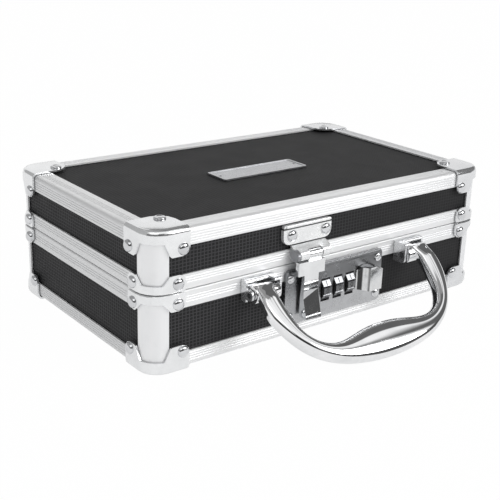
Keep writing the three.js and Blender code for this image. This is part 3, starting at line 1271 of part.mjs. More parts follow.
const part = new THREE.Group();
part.name = 'medication_lock_box';
const assembly = new THREE.Group();
assembly.name = 'assembly';
part.add(assembly);

const baseShell = buildHalf('base');
const lidShell = buildHalf('lid');
assembly.add(baseShell, lidShell);

const lidPanelTop = LID_TOP - EDGE_LIP - GAP;
const platePosition = [PLATE_CENTRE_X, PLATE_CENTRE_Y, lidPanelTop + GAP];
lidShell.add(meshOf('name_plate', namePlate(), 'aluminium', platePosition));

const hingePosition = [0, HINGE_Y, SEAM_HEIGHT];
lidShell.add(meshOf('hinge_leaf_lid', hingeLeaf(1), 'aluminium', hingePosition));
baseShell.add(meshOf('hinge_leaf_base', hingeLeaf(-1), 'aluminium', hingePosition));
const hingePinHalf = HINGE_LENGTH / 2 + HINGE_PIN_OVERRUN;
baseShell.add(meshOf('hinge_pin', rod(HINGE_PIN_RADIUS, -hingePinHalf, hingePinHalf, 0, 0), 'steel', hingePosition));

const pivotPosition = [HANDLE_CENTRE_X, FRONT_FACE - HANDLE_PIVOT_OFF, HANDLE_PIVOT_HEIGHT];
for (const [side, sign] of [['left', -1], ['right', 1]]) {
  baseShell.add(meshOf(`handle_bracket_${side}`, bracketShape(sign), 'chrome'));
  const [from, to] = [sign * BRACKET_FROM, sign * BRACKET_TO].sort((a, b) => a - b);
  const pin = rod(HANDLE_PIN_RADIUS, from, to, 0, 0);
  baseShell.add(meshOf(`handle_pin_${side}`, pin, 'steel', pivotPosition));
}
const handle = meshOf('handle', handleGeometry(), 'chrome', pivotPosition);
handle.rotation.x = THREE.MathUtils.degToRad(HANDLE_DROP_DEG);
assembly.add(handle);

lidShell.add(meshOf('catch_plate', catchPlate(), 'chrome'));
const haspY = FRONT_FACE - HASP_AXIS_OFF;
const haspPin = rod(HASP_PIN_RADIUS, HASP_BARREL_LEFT, HASP_BARREL_RIGHT, 0, 0);
lidShell.add(meshOf('hasp_pin', haspPin, 'steel', [0, haspY, HASP_AXIS_HEIGHT]));
lidShell.add(meshOf('hasp', haspShape(), 'chrome'));

baseShell.add(meshOf('lock_case', lockCase(), 'chrome'));
const dialY = FRONT_FACE - DIAL_AXIS_OFF;
for (let i = 0; i < DIAL_COUNT; i += 1) {
  const position = [DIAL_FIRST + i * DIAL_PITCH, dialY, DIAL_AXIS_HEIGHT];
  baseShell.add(meshOf(`dial_${i + 1}`, dialShape(), 'dial', position));
}
const spindleFrom = CHEEK_LEFT - GAP;
const spindleTo = CHEEK_RIGHT + CHEEK_WALL + GAP;
const spindle = rod(SPINDLE_RADIUS, spindleFrom, spindleTo, 0, 0);
baseShell.add(meshOf('dial_spindle', spindle, 'steel', [0, dialY, DIAL_AXIS_HEIGHT]));
baseShell.add(meshOf('release_button', buttonShape(), 'chrome'));
baseShell.add(meshOf('bolt_slide', boltSlide(), 'steel'));
const springPosition = [0, FRONT_FACE - SPRING_AXIS_OFF, SPRING_AXIS_HEIGHT];
baseShell.add(meshOf('button_spring', springGeometry(), 'steel', springPosition));

// The origin is the middle of the whole part's footprint, on the surface it stands on.
part.updateMatrixWorld(true);
const bounds = new THREE.Box3().setFromObject(part, true);
const middle = bounds.getCenter(new THREE.Vector3());
assembly.position.set(-middle.x, -middle.y, -bounds.min.z);
part.updateMatrixWorld(true);

export default part;
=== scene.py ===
import math

import bmesh
import bpy
from mathutils import Matrix, Vector


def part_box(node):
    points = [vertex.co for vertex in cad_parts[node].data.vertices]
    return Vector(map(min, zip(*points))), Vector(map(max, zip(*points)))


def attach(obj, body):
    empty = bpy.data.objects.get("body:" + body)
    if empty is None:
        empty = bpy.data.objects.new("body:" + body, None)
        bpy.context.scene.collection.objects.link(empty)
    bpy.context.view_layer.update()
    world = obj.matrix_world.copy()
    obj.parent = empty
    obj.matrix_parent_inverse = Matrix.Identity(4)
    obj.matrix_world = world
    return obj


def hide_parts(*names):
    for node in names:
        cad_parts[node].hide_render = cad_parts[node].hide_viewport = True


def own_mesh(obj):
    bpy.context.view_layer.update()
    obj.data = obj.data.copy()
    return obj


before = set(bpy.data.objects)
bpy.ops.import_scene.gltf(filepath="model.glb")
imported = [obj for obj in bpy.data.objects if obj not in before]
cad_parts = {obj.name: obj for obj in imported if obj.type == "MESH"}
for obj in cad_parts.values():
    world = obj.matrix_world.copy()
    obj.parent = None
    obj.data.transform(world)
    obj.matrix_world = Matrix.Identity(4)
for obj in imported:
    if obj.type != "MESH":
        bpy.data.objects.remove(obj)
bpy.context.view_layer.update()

MM = 0.001
edge_low, edge_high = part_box("base_edge_frame")
ORIGIN = Vector(((edge_low.x + edge_high.x) / 2, (edge_low.y + edge_high.y) / 2, edge_low.z))

# Places in millimetres from the middle of the shell's underside. The lock faces -Y.
HALF_X, HALF_Y = 105.0, 63.65
BASE_SEAM, LID_SEAM, LID_TOP = 36.95, 37.35, 65.7
PROUD = 1.2


def at(x, y, z):
    return ORIGIN + Vector((x, y, z)) * MM


def tone(code):
    """Linear RGBA of an sRGB hex colour."""
    parts = [int(code[i:i + 2], 16) / 255 for i in (0, 2, 4)]
    return tuple(c / 12.92 if c <= 0.04045 else ((c + 0.055) / 1.055) ** 2.4 for c in parts) + (1.0,)


# Materials

class Surface:
    """A Principled material made by short node calls. Numbers and sockets are both accepted."""

    def __init__(self, name, **constants):
        self.material = bpy.data.materials.new(name)
        self.material.use_nodes = True
        self.tree = self.material.node_tree
        self.shader = self.tree.nodes["Principled BSDF"]
        for key, value in constants.items():
            self.shader.inputs[key.replace("_", " ")].default_value = value

    def node(self, kind, inputs, output=0, **settings):
        made = self.tree.nodes.new("ShaderNode" + kind)
        for key, value in settings.items():
            setattr(made, key, value)
        for key, value in inputs.items():
            if isinstance(value, bpy.types.NodeSocket):
                self.tree.links.new(value, made.inputs[key])
            else:
                made.inputs[key].default_value = value
        return made.outputs[output]

    def set(self, key, socket):
        self.tree.links.new(socket, self.shader.inputs[key])

    def math(self, operation, a, b=0.0, c=0.0):
        return self.node("Math", {0: a, 1: b, 2: c}, operation=operation)

    def place(self):
        """X, Y and Z in millimetres from the middle of the shell's underside."""
        coords = self.node("TexCoord", {}, output="Object")
        moved = self.node("VectorMath", {0: coords, 1: ORIGIN}, operation="SUBTRACT")
        scaled = self.node("VectorMath", {0: moved, "Scale": 1000.0}, operation="SCALE")
        parts = self.tree.nodes.new("ShaderNodeSeparateXYZ")
        self.tree.links.new(scaled, parts.inputs[0])
        return [scaled, *parts.outputs]

    def facing(self):
        coords = self.node("TexCoord", {}, output="Normal")
        parts = self.tree.nodes.new("ShaderNodeSeparateXYZ")
        self.tree.links.new(coords, parts.inputs[0])
        return [self.math("ABSOLUTE", part) for part in parts.outputs]

    def vector(self, x, y, z):
        return self.node("CombineXYZ", {0: x, 1: y, 2: z})

    def stretched(self, places, factors):
        return self.vector(*[self.math("MULTIPLY", place, factor) for place, factor in zip(places, factors)])

    def noise(self, vector, scale=1.0, detail=2.0, roughness=0.5, distortion=0.0):
        inputs = {"Vector": vector, "Scale": scale, "Detail": detail}
        return self.node("TexNoise", {**inputs, "Roughness": roughness, "Distortion": distortion})

    def range(self, value, low, high, to_low=0.0, to_high=1.0, smooth=False):
        inputs = {0: value, 1: low, 2: high, 3: to_low, 4: to_high}
        return self.node("MapRange", inputs, interpolation_type="SMOOTHSTEP" if smooth else "LINEAR")

    def mix(self, factor, a, b):
        return self.node("Mix", {0: factor, 6: a, 7: b}, output=2, data_type="RGBA")

    def bump(self, height, strength, distance, normal=None):
        inputs = {"Height": height, "Strength": strength, "Distance": distance * MM}
        if normal is not None:
            inputs["Normal"] = normal
        return self.node("Bump", inputs)

    def duller_right(self, x, colour, strength):
        """Painted shade: darkens towards the box's right end, as the light falls off there."""
        right_shade = self.range(x, SHADE_FROM, SHADE_TO, 0.0, strength, smooth=True)
        return self.mix(right_shade, colour, tone("c3c4c7"))


# Where the painted shade towards the right end begins and where it is full, in millimetres along X.
SHADE_FROM, SHADE_TO = 30.0, 105.0


def aluminium(name, upright, dark, light, grain):
    """Satin extrusion: fine die lines run along it, with faint stains and rub marks.

    It is darker to the right and, unless upright, on faces that look left or right. Both are painted shade
    and not wear.
    """
    s = Surface(name, Metallic=0.62)
    where, x, y, z = s.place()
    if upright:
        fine = s.stretched((x, y, z), (5.0, 5.0, 0.05))
        broad = s.stretched((x, y, z), (0.25, 0.25, 0.02))
    else:
        along = s.math("ADD", x, y)
        inset = s.math(
            "MINIMUM", s.math("SUBTRACT", HALF_X, s.math("ABSOLUTE", x)),
            s.math("SUBTRACT", HALF_Y, s.math("ABSOLUTE", y)),
        )
        fine = s.stretched((along, inset, z), (0.05, 7.0, 7.0))
        broad = s.stretched((along, inset, z), (0.02, 0.9, 0.9))
    lines = s.noise(fine, 1.0, 3.0, 0.6)
    bands = s.noise(broad, 1.0, 2.0, 0.5)
    stains = s.noise(where, 0.09, 4.0, 0.6)
    shade = s.math("ADD", s.math("MULTIPLY", lines, 0.4), s.math("MULTIPLY", bands, 0.6))
    colour = s.mix(s.range(shade, 0.25, 0.75), tone(dark), tone(light))
    colour = s.mix(s.range(stains, 0.55, 0.8, 0.0, 0.08), colour, tone("b2b3b6"))
    # Painted shade towards the right end.
    colour = s.duller_right(x, colour, 0.35)
    if not upright:
        # Painted shade on faces that look left or right.
        sideways = s.range(s.facing()[0], 0.5, 0.8, smooth=True)
        colour = s.mix(s.math("MULTIPLY", sideways, 0.35), colour, tone("c4c5c7"))
    s.set("Base Color", colour)
    rough = s.math("ADD", s.range(lines, 0.3, 0.7, 0.42, 0.52), s.range(stains, 0.4, 0.7, 0.0, 0.06))
    s.set("Roughness", rough)
    s.set("Normal", s.bump(lines, 0.35 * grain, 0.015))
    return s.material


def plated(name, dark, light, low, high, scratch, shine, shadow_lines=(), right_shade=False):
    """Nickel plating on pressed sheet: slightly wavy, with smears and hair scratches.

    low and high are the least and greatest roughness. shadow_lines are bands of heights painted as dark
    shadow lines, such as under a bead. right_shade adds painted shade towards the right end.
    """
    s = Surface(name, Metallic=shine)
    where, x, _, z = s.place()
    smear = s.noise(where, 0.1, 4.0, 0.6, 0.5)
    waves = s.noise(where, 0.16, 1.0, 0.4)
    hairs = s.node(
        "TexWave", {"Vector": where, "Scale": 0.7, "Distortion": 9.0, "Detail": 3.0, "Detail Scale": 1.6},
        output=1, bands_direction="DIAGONAL",
    )
    colour = s.mix(s.range(smear, 0.35, 0.68), tone(dark), tone(light))
    # Painted shade towards the right end.
    if right_shade:
        colour = s.duller_right(x, colour, 0.45)
    # Painted shadow lines at the given heights.
    for low_z, high_z in shadow_lines:
        above = s.range(z, low_z - 0.2, low_z, smooth=True)
        below = s.range(z, high_z, high_z + 0.1, 1.0, 0.0)
        colour = s.mix(s.math("MULTIPLY", s.math("MULTIPLY", above, below), 0.9), colour, tone("1b1b1c"))
    s.set("Base Color", colour)
    s.set("Roughness", s.math(
        "ADD", s.range(smear, 0.35, 0.7, low, high), s.range(hairs, 0.92, 1.0, 0.0, 0.08),
    ))
    fine = s.bump(s.range(hairs, 0.9, 1.0), scratch, 0.01)
    s.set("Normal", s.bump(waves, 0.12, 0.04, fine))
    return s.material


def mirror_chrome(name, dark, light):
    """Polished casting under chrome, with faint polishing marks and finger smears."""
    s = Surface(name, Metallic=1.0)
    where = s.place()[0]
    smear = s.noise(where, 0.07, 5.0, 0.6, 0.8)
    polish = s.noise(where, 1.6, 3.0, 0.55)
    s.set("Base Color", s.mix(s.range(smear, 0.3, 0.7), tone(dark), tone(light)))
    s.set("Roughness", s.math(
        "ADD", s.range(smear, 0.42, 0.72, 0.03, 0.07), s.range(polish, 0.5, 0.8, 0.0, 0.015),
    ))
    s.set("Normal", s.bump(polish, 0.06, 0.006))
    return s.material


def lock_metal(name):
    """Satin chrome of the lock's plate. It is darker towards its top, which is painted shade and reflection.
    """
    s = Surface(name, Metallic=0.95)
    where, _, _, z = s.place()
    smear = s.noise(where, 0.12, 4.0, 0.6, 0.5)
    # Painted shade and reflection: darker towards the plate's top.
    painted_top_shade = s.range(s.math("ADD", z, s.math("MULTIPLY", smear, 4.0)), 16.0, 31.0, smooth=True)
    lower = s.mix(s.range(smear, 0.3, 0.7), tone("b9babc"), tone("cbccce"))
    s.set("Base Color", s.mix(painted_top_shade, lower, tone("838486")))
    s.set("Roughness", s.range(smear, 0.35, 0.7, 0.24, 0.34))
    s.set("Normal", s.bump(s.noise(where, 2.2, 3.0, 0.6), 0.08, 0.01))
    return s.material


# Painted reflections as dark bands on the button's flank, along X: from, to and strength.
FLANK_REFLECTION_BANDS = [(15.0, 16.6, 0.95), (17.85, 18.6, 0.7)]
BAND_EDGE = 0.2


def button_metal(name):
    """Chrome of the release button. Its dark bands and crown keep the photograph's reflections as colour."""
    s = Surface(name, Metallic=1.0)
    where, x, _, _ = s.place()
    nx, _, nz = s.facing()
    smear = s.noise(where, 0.3, 4.0, 0.6, 0.6)
    colour = s.mix(s.range(smear, 0.3, 0.7), tone("d8d9da"), tone("ebecec"))
    side = s.range(nx, 0.15, 0.3, smooth=True)
    for low_x, high_x, strength in FLANK_REFLECTION_BANDS:
        begun = s.range(x, low_x - BAND_EDGE, low_x + BAND_EDGE, smooth=True)
        ended = s.range(x, high_x - BAND_EDGE, high_x + BAND_EDGE, 1.0, 0.0, True)
        band = s.math("MULTIPLY", s.math("MULTIPLY", begun, ended), side)
        colour = s.mix(s.math("MULTIPLY", band, strength), colour, tone("2a2a2b"))
    # Painted dark reflection on the button's crown.
    crown = s.math("MULTIPLY", s.range(nz, 0.3, 0.5, smooth=True), s.range(smear, 0.3, 0.6, 0.95, 0.6))
    s.set("Base Color", s.mix(crown, colour, tone("39393b")))
    s.set("Roughness", s.range(smear, 0.3, 0.7, 0.08, 0.14))
    s.set("Normal", s.bump(smear, 0.06, 0.02))
    return s.material


def steel(name):
    """Turned or drawn steel, with its marks across X."""
    s = Surface(name, Metallic=1.0)
    where, x, y, z = s.place()
    turned = s.noise(s.stretched((x, y, z), (6.0, 0.6, 0.6)), 1.0, 3.0)
    stain = s.noise(where, 0.4, 4.0, 0.6)
    s.set("Base Color", s.mix(s.range(stain, 0.35, 0.7), tone("8f9194"), tone("bcbec1")))
    s.set("Roughness", s.range(turned, 0.3, 0.7, 0.24, 0.42))
    s.set("Normal", s.bump(turned, 0.3, 0.02))
    return s.material


PITCH_ACROSS, PITCH_UP = 1.9, 1.65


def waffle(name, across, dark="161617", light="3f3f41", depth=0.1, rough=(0.5, 0.66)):
    """Moulded plastic skin with a grid of small square dimples. across names its two directions.

    On the front and back the grid's lighter lines fade out to the right: a painted sheen that falls off
    there.
    """
    s = Surface(name, Specular_IOR_Level=0.25)
    where, x, y, z = s.place()
    axes = {"x": x, "y": y, "z": z}
    wander = s.noise(where, 0.35, 2.0)
    ridges = []
    for axis, pitch in zip(across, (PITCH_ACROSS, PITCH_UP)):
        turns = s.math("MULTIPLY", axes[axis], math.tau / pitch)
        wave = s.math("COSINE", s.math("ADD", turns, s.range(wander, 0.3, 0.7, -0.35, 0.35)))
        ridges.append(s.range(wave, 0.45, 1.0, smooth=True))
    grid = s.math("MAXIMUM", *ridges)
    grain = s.noise(where, 5.0, 3.0, 0.6)
    dust = s.noise(where, 0.06, 5.0, 0.6, 0.4)
    # Painted sheen: on the front and back the grid fades out towards the right.
    if across == "xz":
        grid = s.math("MULTIPLY", grid, s.range(x, -60.0, 60.0, 1.0, 0.25, smooth=True))
    shade = s.math("ADD", s.math("MULTIPLY", grid, 0.78), s.math("MULTIPLY", grain, 0.22))
    colour = s.mix(shade, tone(dark), tone(light))
    colour = s.mix(s.range(dust, 0.52, 0.8, 0.0, 0.12), colour, tone("3c3c3d"))
    s.set("Base Color", colour)
    s.set("Roughness", s.math(
        "ADD", s.range(grid, 0.0, 1.0, rough[1], rough[0]), s.range(dust, 0.4, 0.8, 0.0, 0.08),
    ))
    s.set("Normal", s.bump(shade, 0.7, depth))
    return s.material


def dial_metal(name):
    """Plated facets, with the wheel's flat sides left in black plastic."""
    s = Surface(name)
    where = s.place()[0]
    side = s.range(s.facing()[0], 0.6, 0.75, smooth=True)
    smear = s.noise(where, 0.6, 4.0, 0.6)
    bright = s.mix(s.range(smear, 0.35, 0.7), tone("6f7072"), tone("8f9092"))
    s.set("Base Color", s.mix(side, bright, tone("171718")))
    s.set("Metallic", s.math("SUBTRACT", 1.0, side))
    s.set("Roughness", s.math("ADD", s.range(smear, 0.3, 0.7, 0.14, 0.26), s.math("MULTIPLY", side, 0.25)))
    s.set("Normal", s.bump(smear, 0.15, 0.05))
    return s.material


def paint(name, dark, light, rough):
    """Slightly grainy paint, as filled into the numerals."""
    s = Surface(name)
    speck = s.noise(s.place()[0], 6.0, 4.0, 0.65)
    s.set("Base Color", s.mix(speck, tone(dark), tone(light)))
    s.set("Roughness", s.range(speck, 0.3, 0.7, rough, rough + 0.2))
    s.set("Normal", s.bump(speck, 0.3, 0.02))
    return s.material


def felt(name):
    """Short black pile over thin foam."""
    s = Surface(name, Sheen_Weight=0.35, Sheen_Roughness=0.45, Specular_IOR_Level=0.2)
    where, x, y, z = s.place()
    pile = s.noise(where, 4.5, 5.0, 0.72)
    brushed = s.noise(s.stretched((x, y, z), (0.2, 1.1, 0.5)), 1.0, 3.0)
    cloud = s.noise(where, 0.05, 3.0)
    shade = s.math("ADD", s.math("MULTIPLY", pile, 0.5), s.math("MULTIPLY", brushed, 0.5))
    colour = s.mix(s.range(shade, 0.3, 0.7), tone("151517"), tone("2c2c31"))
    s.set("Base Color", s.mix(s.range(cloud, 0.4, 0.7, 0.0, 0.35), colour, tone("333339")))
    s.set("Roughness", s.range(pile, 0.3, 0.7, 0.86, 1.0))
    s.set("Normal", s.bump(pile, 0.8, 0.14, s.bump(brushed, 0.4, 0.3)))
    return s.material


def plate_metal(name):
    """Bright plate with its blank field brushed along X."""
    s = Surface(name, Metallic=1.0)
    where, x, y, z = s.place()
    brush = s.noise(s.stretched((x, y, z), (0.12, 9.0, 1.0)), 1.0, 3.0, 0.6)
    tarnish = s.noise(where, 0.12, 4.0, 0.6)
    colour = s.mix(s.range(brush, 0.3, 0.7), tone("a9aaad"), tone("d6d7d9"))
    s.set("Base Color", s.mix(s.range(tarnish, 0.5, 0.8, 0.0, 0.25), colour, tone("88898c")))
    s.set("Roughness", s.range(brush, 0.3, 0.7, 0.22, 0.4))
    s.set("Normal", s.bump(brush, 0.4, 0.03))
    return s.material


ALUMINIUM = aluminium("satin_aluminium", False, "f1f2f2", "fafafb", 1.0)
COLUMN = aluminium("satin_aluminium_upright", True, "f6f7f8", "fdfdfe", 0.2)
# The caps and braces take painted shade towards the right end.
PLATED = plated("nickel_plate", "ecedee", "f6f7f8", 0.09, 0.16, 0.08, 0.88, right_shade=True)
RIVET = plated("rivet_plate", "cfd0d2", "e6e7e9", 0.06, 0.12, 0.1, 1.0)
CHROME = mirror_chrome("handle_chrome", "e6e7e8", "f6f6f7")
LOCK = lock_metal("lock_chrome")
BUTTON = button_metal("button_chrome")
HASP = mirror_chrome("hasp_chrome", "dfe0e1", "eff0f1")
BRACKET = plated("bracket_nickel", "dfe0e2", "eeeff0", 0.2, 0.28, 0.04, 0.9)
# Its two bands are painted shadow lines: under the top bead, and under the plate's lower edge.
CATCH = plated("catch_nickel", "ecedee", "f7f8f8", 0.22, 0.28, 0.03, 0.55, [(54.95, 55.75), (46.7, 47.3)])
CHEEK = plated("cast_cheek", "8d8e91", "a7a8ab", 0.32, 0.42, 0.3, 0.75)
STEEL = steel("turned_steel")
PANEL_X = waffle("waffle_front", "xz")
# The side panels are a darker copy of the front's skin: painted shade.
SHADED_PANEL_Y = waffle("waffle_side_shaded", "yz", light="363638")
PANEL_Z = waffle("waffle_bottom", "xy")
TOP = waffle("waffle_top", "xy", "232324", "2c2c2d", 0.03, (0.6, 0.7))
DIAL = dial_metal("dial_metal")
INK = paint("digit_ink", "0b0b0c", "1a1a1b", 0.4)
FELT = felt("lining_felt")
PLATE = plate_metal("plate_metal")


def material_for(name):
    if name.endswith("top_panel"):
        return TOP
    if name.endswith("_panel"):
        if "front" in name or "back" in name:
            return PANEL_X
        return PANEL_Z if "bottom" in name else SHADED_PANEL_Y
    if name.endswith("_column"):
        return COLUMN
    if name.endswith("_cap") or name.endswith("_brace"):
        return PLATED
    if name.endswith("_frame") or name.endswith("_rim") or name.startswith("hinge_leaf"):
        return ALUMINIUM
    singles = {
        "lock_case": LOCK, "release_button": BUTTON, "catch_plate": CATCH, "hasp": HASP, "handle": CHROME,
        "name_plate": PLATE,
    }
    if name in singles:
        return singles[name]
    if name.startswith("handle_bracket"):
        return BRACKET
    if name.startswith("dial_") and name != "dial_spindle":
        return DIAL
    if name.endswith("_lining"):
        return FELT
    return STEEL


WELD_DISTANCE = 0.001
CRISP_DEGREES = 32


def finish_node(obj):
    """Smooth shading with crisp edges. The vertices stay as packed."""
    obj.data.materials.clear()
    obj.data.materials.append(material_for(obj.name))
    obj.data.shade_smooth()
    weld = obj.modifiers.new("weld", "WELD")
    weld.merge_threshold = WELD_DISTANCE * MM
    split = obj.modifiers.new("split", "EDGE_SPLIT")
    split.split_angle = math.radians(CRISP_DEGREES)
    split.use_edge_sharp = False


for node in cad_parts.values():
    finish_node(node)


# Pieces

def new_piece(name, mesh_maker, material, body):
    """mesh_maker fills a bmesh in shell millimetres; the piece then rides on the body."""
    bm = bmesh.new()
    mesh_maker(bm)
    bmesh.ops.recalc_face_normals(bm, faces=bm.faces)
    for vertex in bm.verts:
        vertex.co = at(*vertex.co)
    mesh = bpy.data.meshes.new(name)
    bm.to_mesh(mesh)
    bm.free()
    mesh.shade_smooth()
    mesh.materials.append(material)
    obj = bpy.data.objects.new(name, mesh)
    bpy.context.scene.collection.objects.link(obj)
    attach(obj, body)
    return obj


def sharpen(obj, degrees):
    obj.data.set_sharp_from_angle(angle=math.radians(degrees))


def skin(bm, rings):
    """Joins each closed ring to the next, which has as many vertices."""
    faces = []
    for low, high in zip(rings, rings[1:]):
        for k in range(len(low)):
            n = (k + 1) % len(low)
            faces.append(bm.faces.new((low[k], low[n], high[n], high[k])))
    return faces


def close_ends(bm, rings):
    return [bm.faces.new(rings[0]), bm.faces.new(rings[-1][::-1])]


ON_AXIS = 1e-6


def lathe(bm, profile, place, axis, segments, close=False):
    """Turns (radius, height) points about axis at place. The last may lie on the axis."""
    axis = Vector(axis).normalized()
    side = axis.orthogonal().normalized()
    other = axis.cross(side)
    rings = []
    for radius, height in profile:
        base = Vector(place) + axis * height
        if radius < ON_AXIS:
            tip = bm.verts.new(base)
            skin(bm, rings)
            for k in range(segments):
                bm.faces.new((rings[-1][k], rings[-1][(k + 1) % segments], tip))
            return
        ring = []
        for k in range(segments):
            angle = 2 * math.pi * k / segments
            ring.append(bm.verts.new(base + (side * math.cos(angle) + other * math.sin(angle)) * radius))
        rings.append(ring)
    skin(bm, rings)
    if close:
        skin(bm, [rings[-1], rings[0]])


# Rivets
RIVET_RADIUS, RIVET_HEIGHT = 2.85, 1.62
RIVET_SINK, RIVET_SIDES = 0.25, 36
SKIRT_SHARE, CROWN_STEPS, CROWN_POWER = 0.12, 10, 0.85
ROLL_STEPS = 8
DIMPLE_SHARES = [(0.4, 0.22), (0.26, 0.12), (0.0, 0.3)]


def dome(bm, place, axis, radius=RIVET_RADIUS, height=RIVET_HEIGHT):
    """Head of a solid rivet: a thin skirt, then a round crown."""
    profile = [(radius * 0.9, -RIVET_SINK), (radius, -0.04), (radius, height * 0.1)]
    for i in range(1, CROWN_STEPS):
        angle = i / CROWN_STEPS * math.pi / 2
        rise = SKIRT_SHARE + (1 - SKIRT_SHARE) * math.sin(angle)
        profile.append((radius * 0.97 * math.cos(angle) ** CROWN_POWER, height * rise))
    profile.append((0.0, height))
    lathe(bm, profile, place, axis, RIVET_SIDES)


def rolled_rivet(bm, place, axis, radius, height):
    """Low tubular rivet: a rolled ring round a dimple."""
    profile = [(radius, -RIVET_SINK), (radius, height * 0.35)]
    for k in range(1, ROLL_STEPS):
        angle = k / ROLL_STEPS * math.pi
        across, up = 0.72 + 0.28 * math.cos(angle), 0.35 + 0.65 * math.sin(angle)
        profile.append((radius * across, height * up))
    profile += [(radius * across, height * up) for across, up in DIMPLE_SHARES]
    lathe(bm, profile, place, axis, RIVET_SIDES)


# How far the rivets lie in from the box's corners, faces and seams, and their sizes.
CORNERS = [(-1, -1), (1, -1), (-1, 1), (1, 1)]
CAP_RIVET_IN_X, CAP_RIVET_IN_Y, CAP_RIVET_DEPTH = 16.6, 15.3, 8.6
BRACE_RIVET_IN_X, BRACE_RIVET_IN_Y = 14.0, 12.2
BASE_BRACE_DEPTH, LID_BRACE_DEPTH = 5.0, 4.0
TOP_RIVET_IN, TOP_RIVET_RADIUS, TOP_RIVET_HEIGHT = 14.2, 2.86, 0.97
HINGE_RIVETS_X, HINGE_RIVET_FROM_SEAM = (-63, -21, 21, 63), 4.65
HINGE_RIVET_RADIUS, HINGE_RIVET_HEIGHT = 1.34, 0.54
CATCH_RIVETS_X, CATCH_RIVET_Z, CATCH_SHEET = (-27.9, -7.3), 51.6, 1.0
LOCK_RIVETS_X, LOCK_RIVETS_Z, LOCK_SHEET = (-28, 29), (10.4, 30), 1.5
LOCK_RIVET_RADIUS, LOCK_RIVET_HEIGHT = 2.36, 1.32
# Lower heads on the back braces, which then clear each other when the lid is fully open.
BACK_RIVET_HEIGHT = 1.57


def half_rivets(outer, inward, seam, brace_depth, is_lid):
    """Heads of one half. outer is the height of its outer face, and inward the way from there to the seam."""
    def make(bm):
        cap_z = outer + inward * CAP_RIVET_DEPTH
        brace_z = seam - inward * brace_depth
        for sx, sy in CORNERS:
            x, y = sx * HALF_X, sy * HALF_Y
            proud_x, proud_y = x + sx * PROUD, y + sy * PROUD
            brace_height = BACK_RIVET_HEIGHT if sy > 0 else RIVET_HEIGHT
            dome(bm, (x - sx * CAP_RIVET_IN_X, proud_y, cap_z), (0, sy, 0))
            dome(bm, (proud_x, y - sy * CAP_RIVET_IN_Y, cap_z), (sx, 0, 0))
            dome(bm, (x - sx * BRACE_RIVET_IN_X, proud_y, brace_z), (0, sy, 0), height=brace_height)
            dome(bm, (proud_x, y - sy * BRACE_RIVET_IN_Y, brace_z), (sx, 0, 0))
            if is_lid:
                place = (x - sx * TOP_RIVET_IN, y - sy * TOP_RIVET_IN, LID_TOP + PROUD)
                rolled_rivet(bm, place, (0, 0, 1), TOP_RIVET_RADIUS, TOP_RIVET_HEIGHT)
        hinge_z = (BASE_SEAM + LID_SEAM) / 2 - inward * HINGE_RIVET_FROM_SEAM
        for x in HINGE_RIVETS_X:
            dome(bm, (x, HALF_Y + PROUD, hinge_z), (0, 1, 0), HINGE_RIVET_RADIUS, HINGE_RIVET_HEIGHT)
        if is_lid:
            for x in CATCH_RIVETS_X:
                dome(bm, (x, -HALF_Y - CATCH_SHEET, CATCH_RIVET_Z), (0, -1, 0))
            return
        for x in LOCK_RIVETS_X:
            for z in LOCK_RIVETS_Z:
                place = (x, -HALF_Y - LOCK_SHEET, z)
                dome(bm, place, (0, -1, 0), LOCK_RIVET_RADIUS, LOCK_RIVET_HEIGHT)
    return make


base_heads = half_rivets(outer=0, inward=1, seam=BASE_SEAM, brace_depth=BASE_BRACE_DEPTH, is_lid=False)
lid_heads = half_rivets(outer=LID_TOP, inward=-1, seam=LID_SEAM, brace_depth=LID_BRACE_DEPTH, is_lid=True)
sharpen(new_piece("base_rivets", base_heads, RIVET, "base"), 50)
sharpen(new_piece("lid_rivets", lid_heads, RIVET, "lid"), 50)


# Handle: a smooth bow with barrel ends. The shares are of the half span and the reach:
# outer x, outer reach, inner x, inner reach, from one pivot to the middle. They repeat the solid's
# shares, which were read off the photograph through the fitted camera.
PIVOT = Vector((1.2, -69.85, 29.8))
DROP = math.radians(41.6)
PLANE_LIFT = 3.4
HALF_SPAN, REACH = 57.5, 48.45
END_THICKNESS, ARM_THICKNESS, GRIP_THICKNESS = 5.0, 8.0, 8.4
END_TAPER, SECTION_POWER = 0.1, 0.8
BARREL_RADIUS, BORE_RADIUS, BARREL_FROM, BARREL_TO = 4.4, 1.5, 41.9, 56.0
BARREL_ROUND, BARREL_ROUND_MIDDLE, BARREL_SIDES = 0.5, 0.12, 40
EDGE_SHARES = [
    (0.96, -0.025, 0.779, -0.025), (0.963, 0.021, 0.793, 0.021), (0.97, 0.074, 0.803, 0.074),
    (0.98, 0.134, 0.805, 0.134), (0.98, 0.217, 0.8, 0.213), (0.97, 0.32, 0.793, 0.305),
    (0.936, 0.429, 0.784, 0.392), (0.885, 0.553, 0.77, 0.487), (0.811, 0.679, 0.729, 0.578),
    (0.719, 0.782, 0.663, 0.65), (0.618, 0.859, 0.581, 0.7), (0.485, 0.927, 0.477, 0.718),
    (0.357, 0.962, 0.369, 0.702), (0.235, 0.985, 0.254, 0.67), (0.117, 0.998, 0.125, 0.646),
]
GRIP_INNER_SHARE = 0.641
STATIONS, SECTION, RELAX_ROUNDS = 168, 40, 24


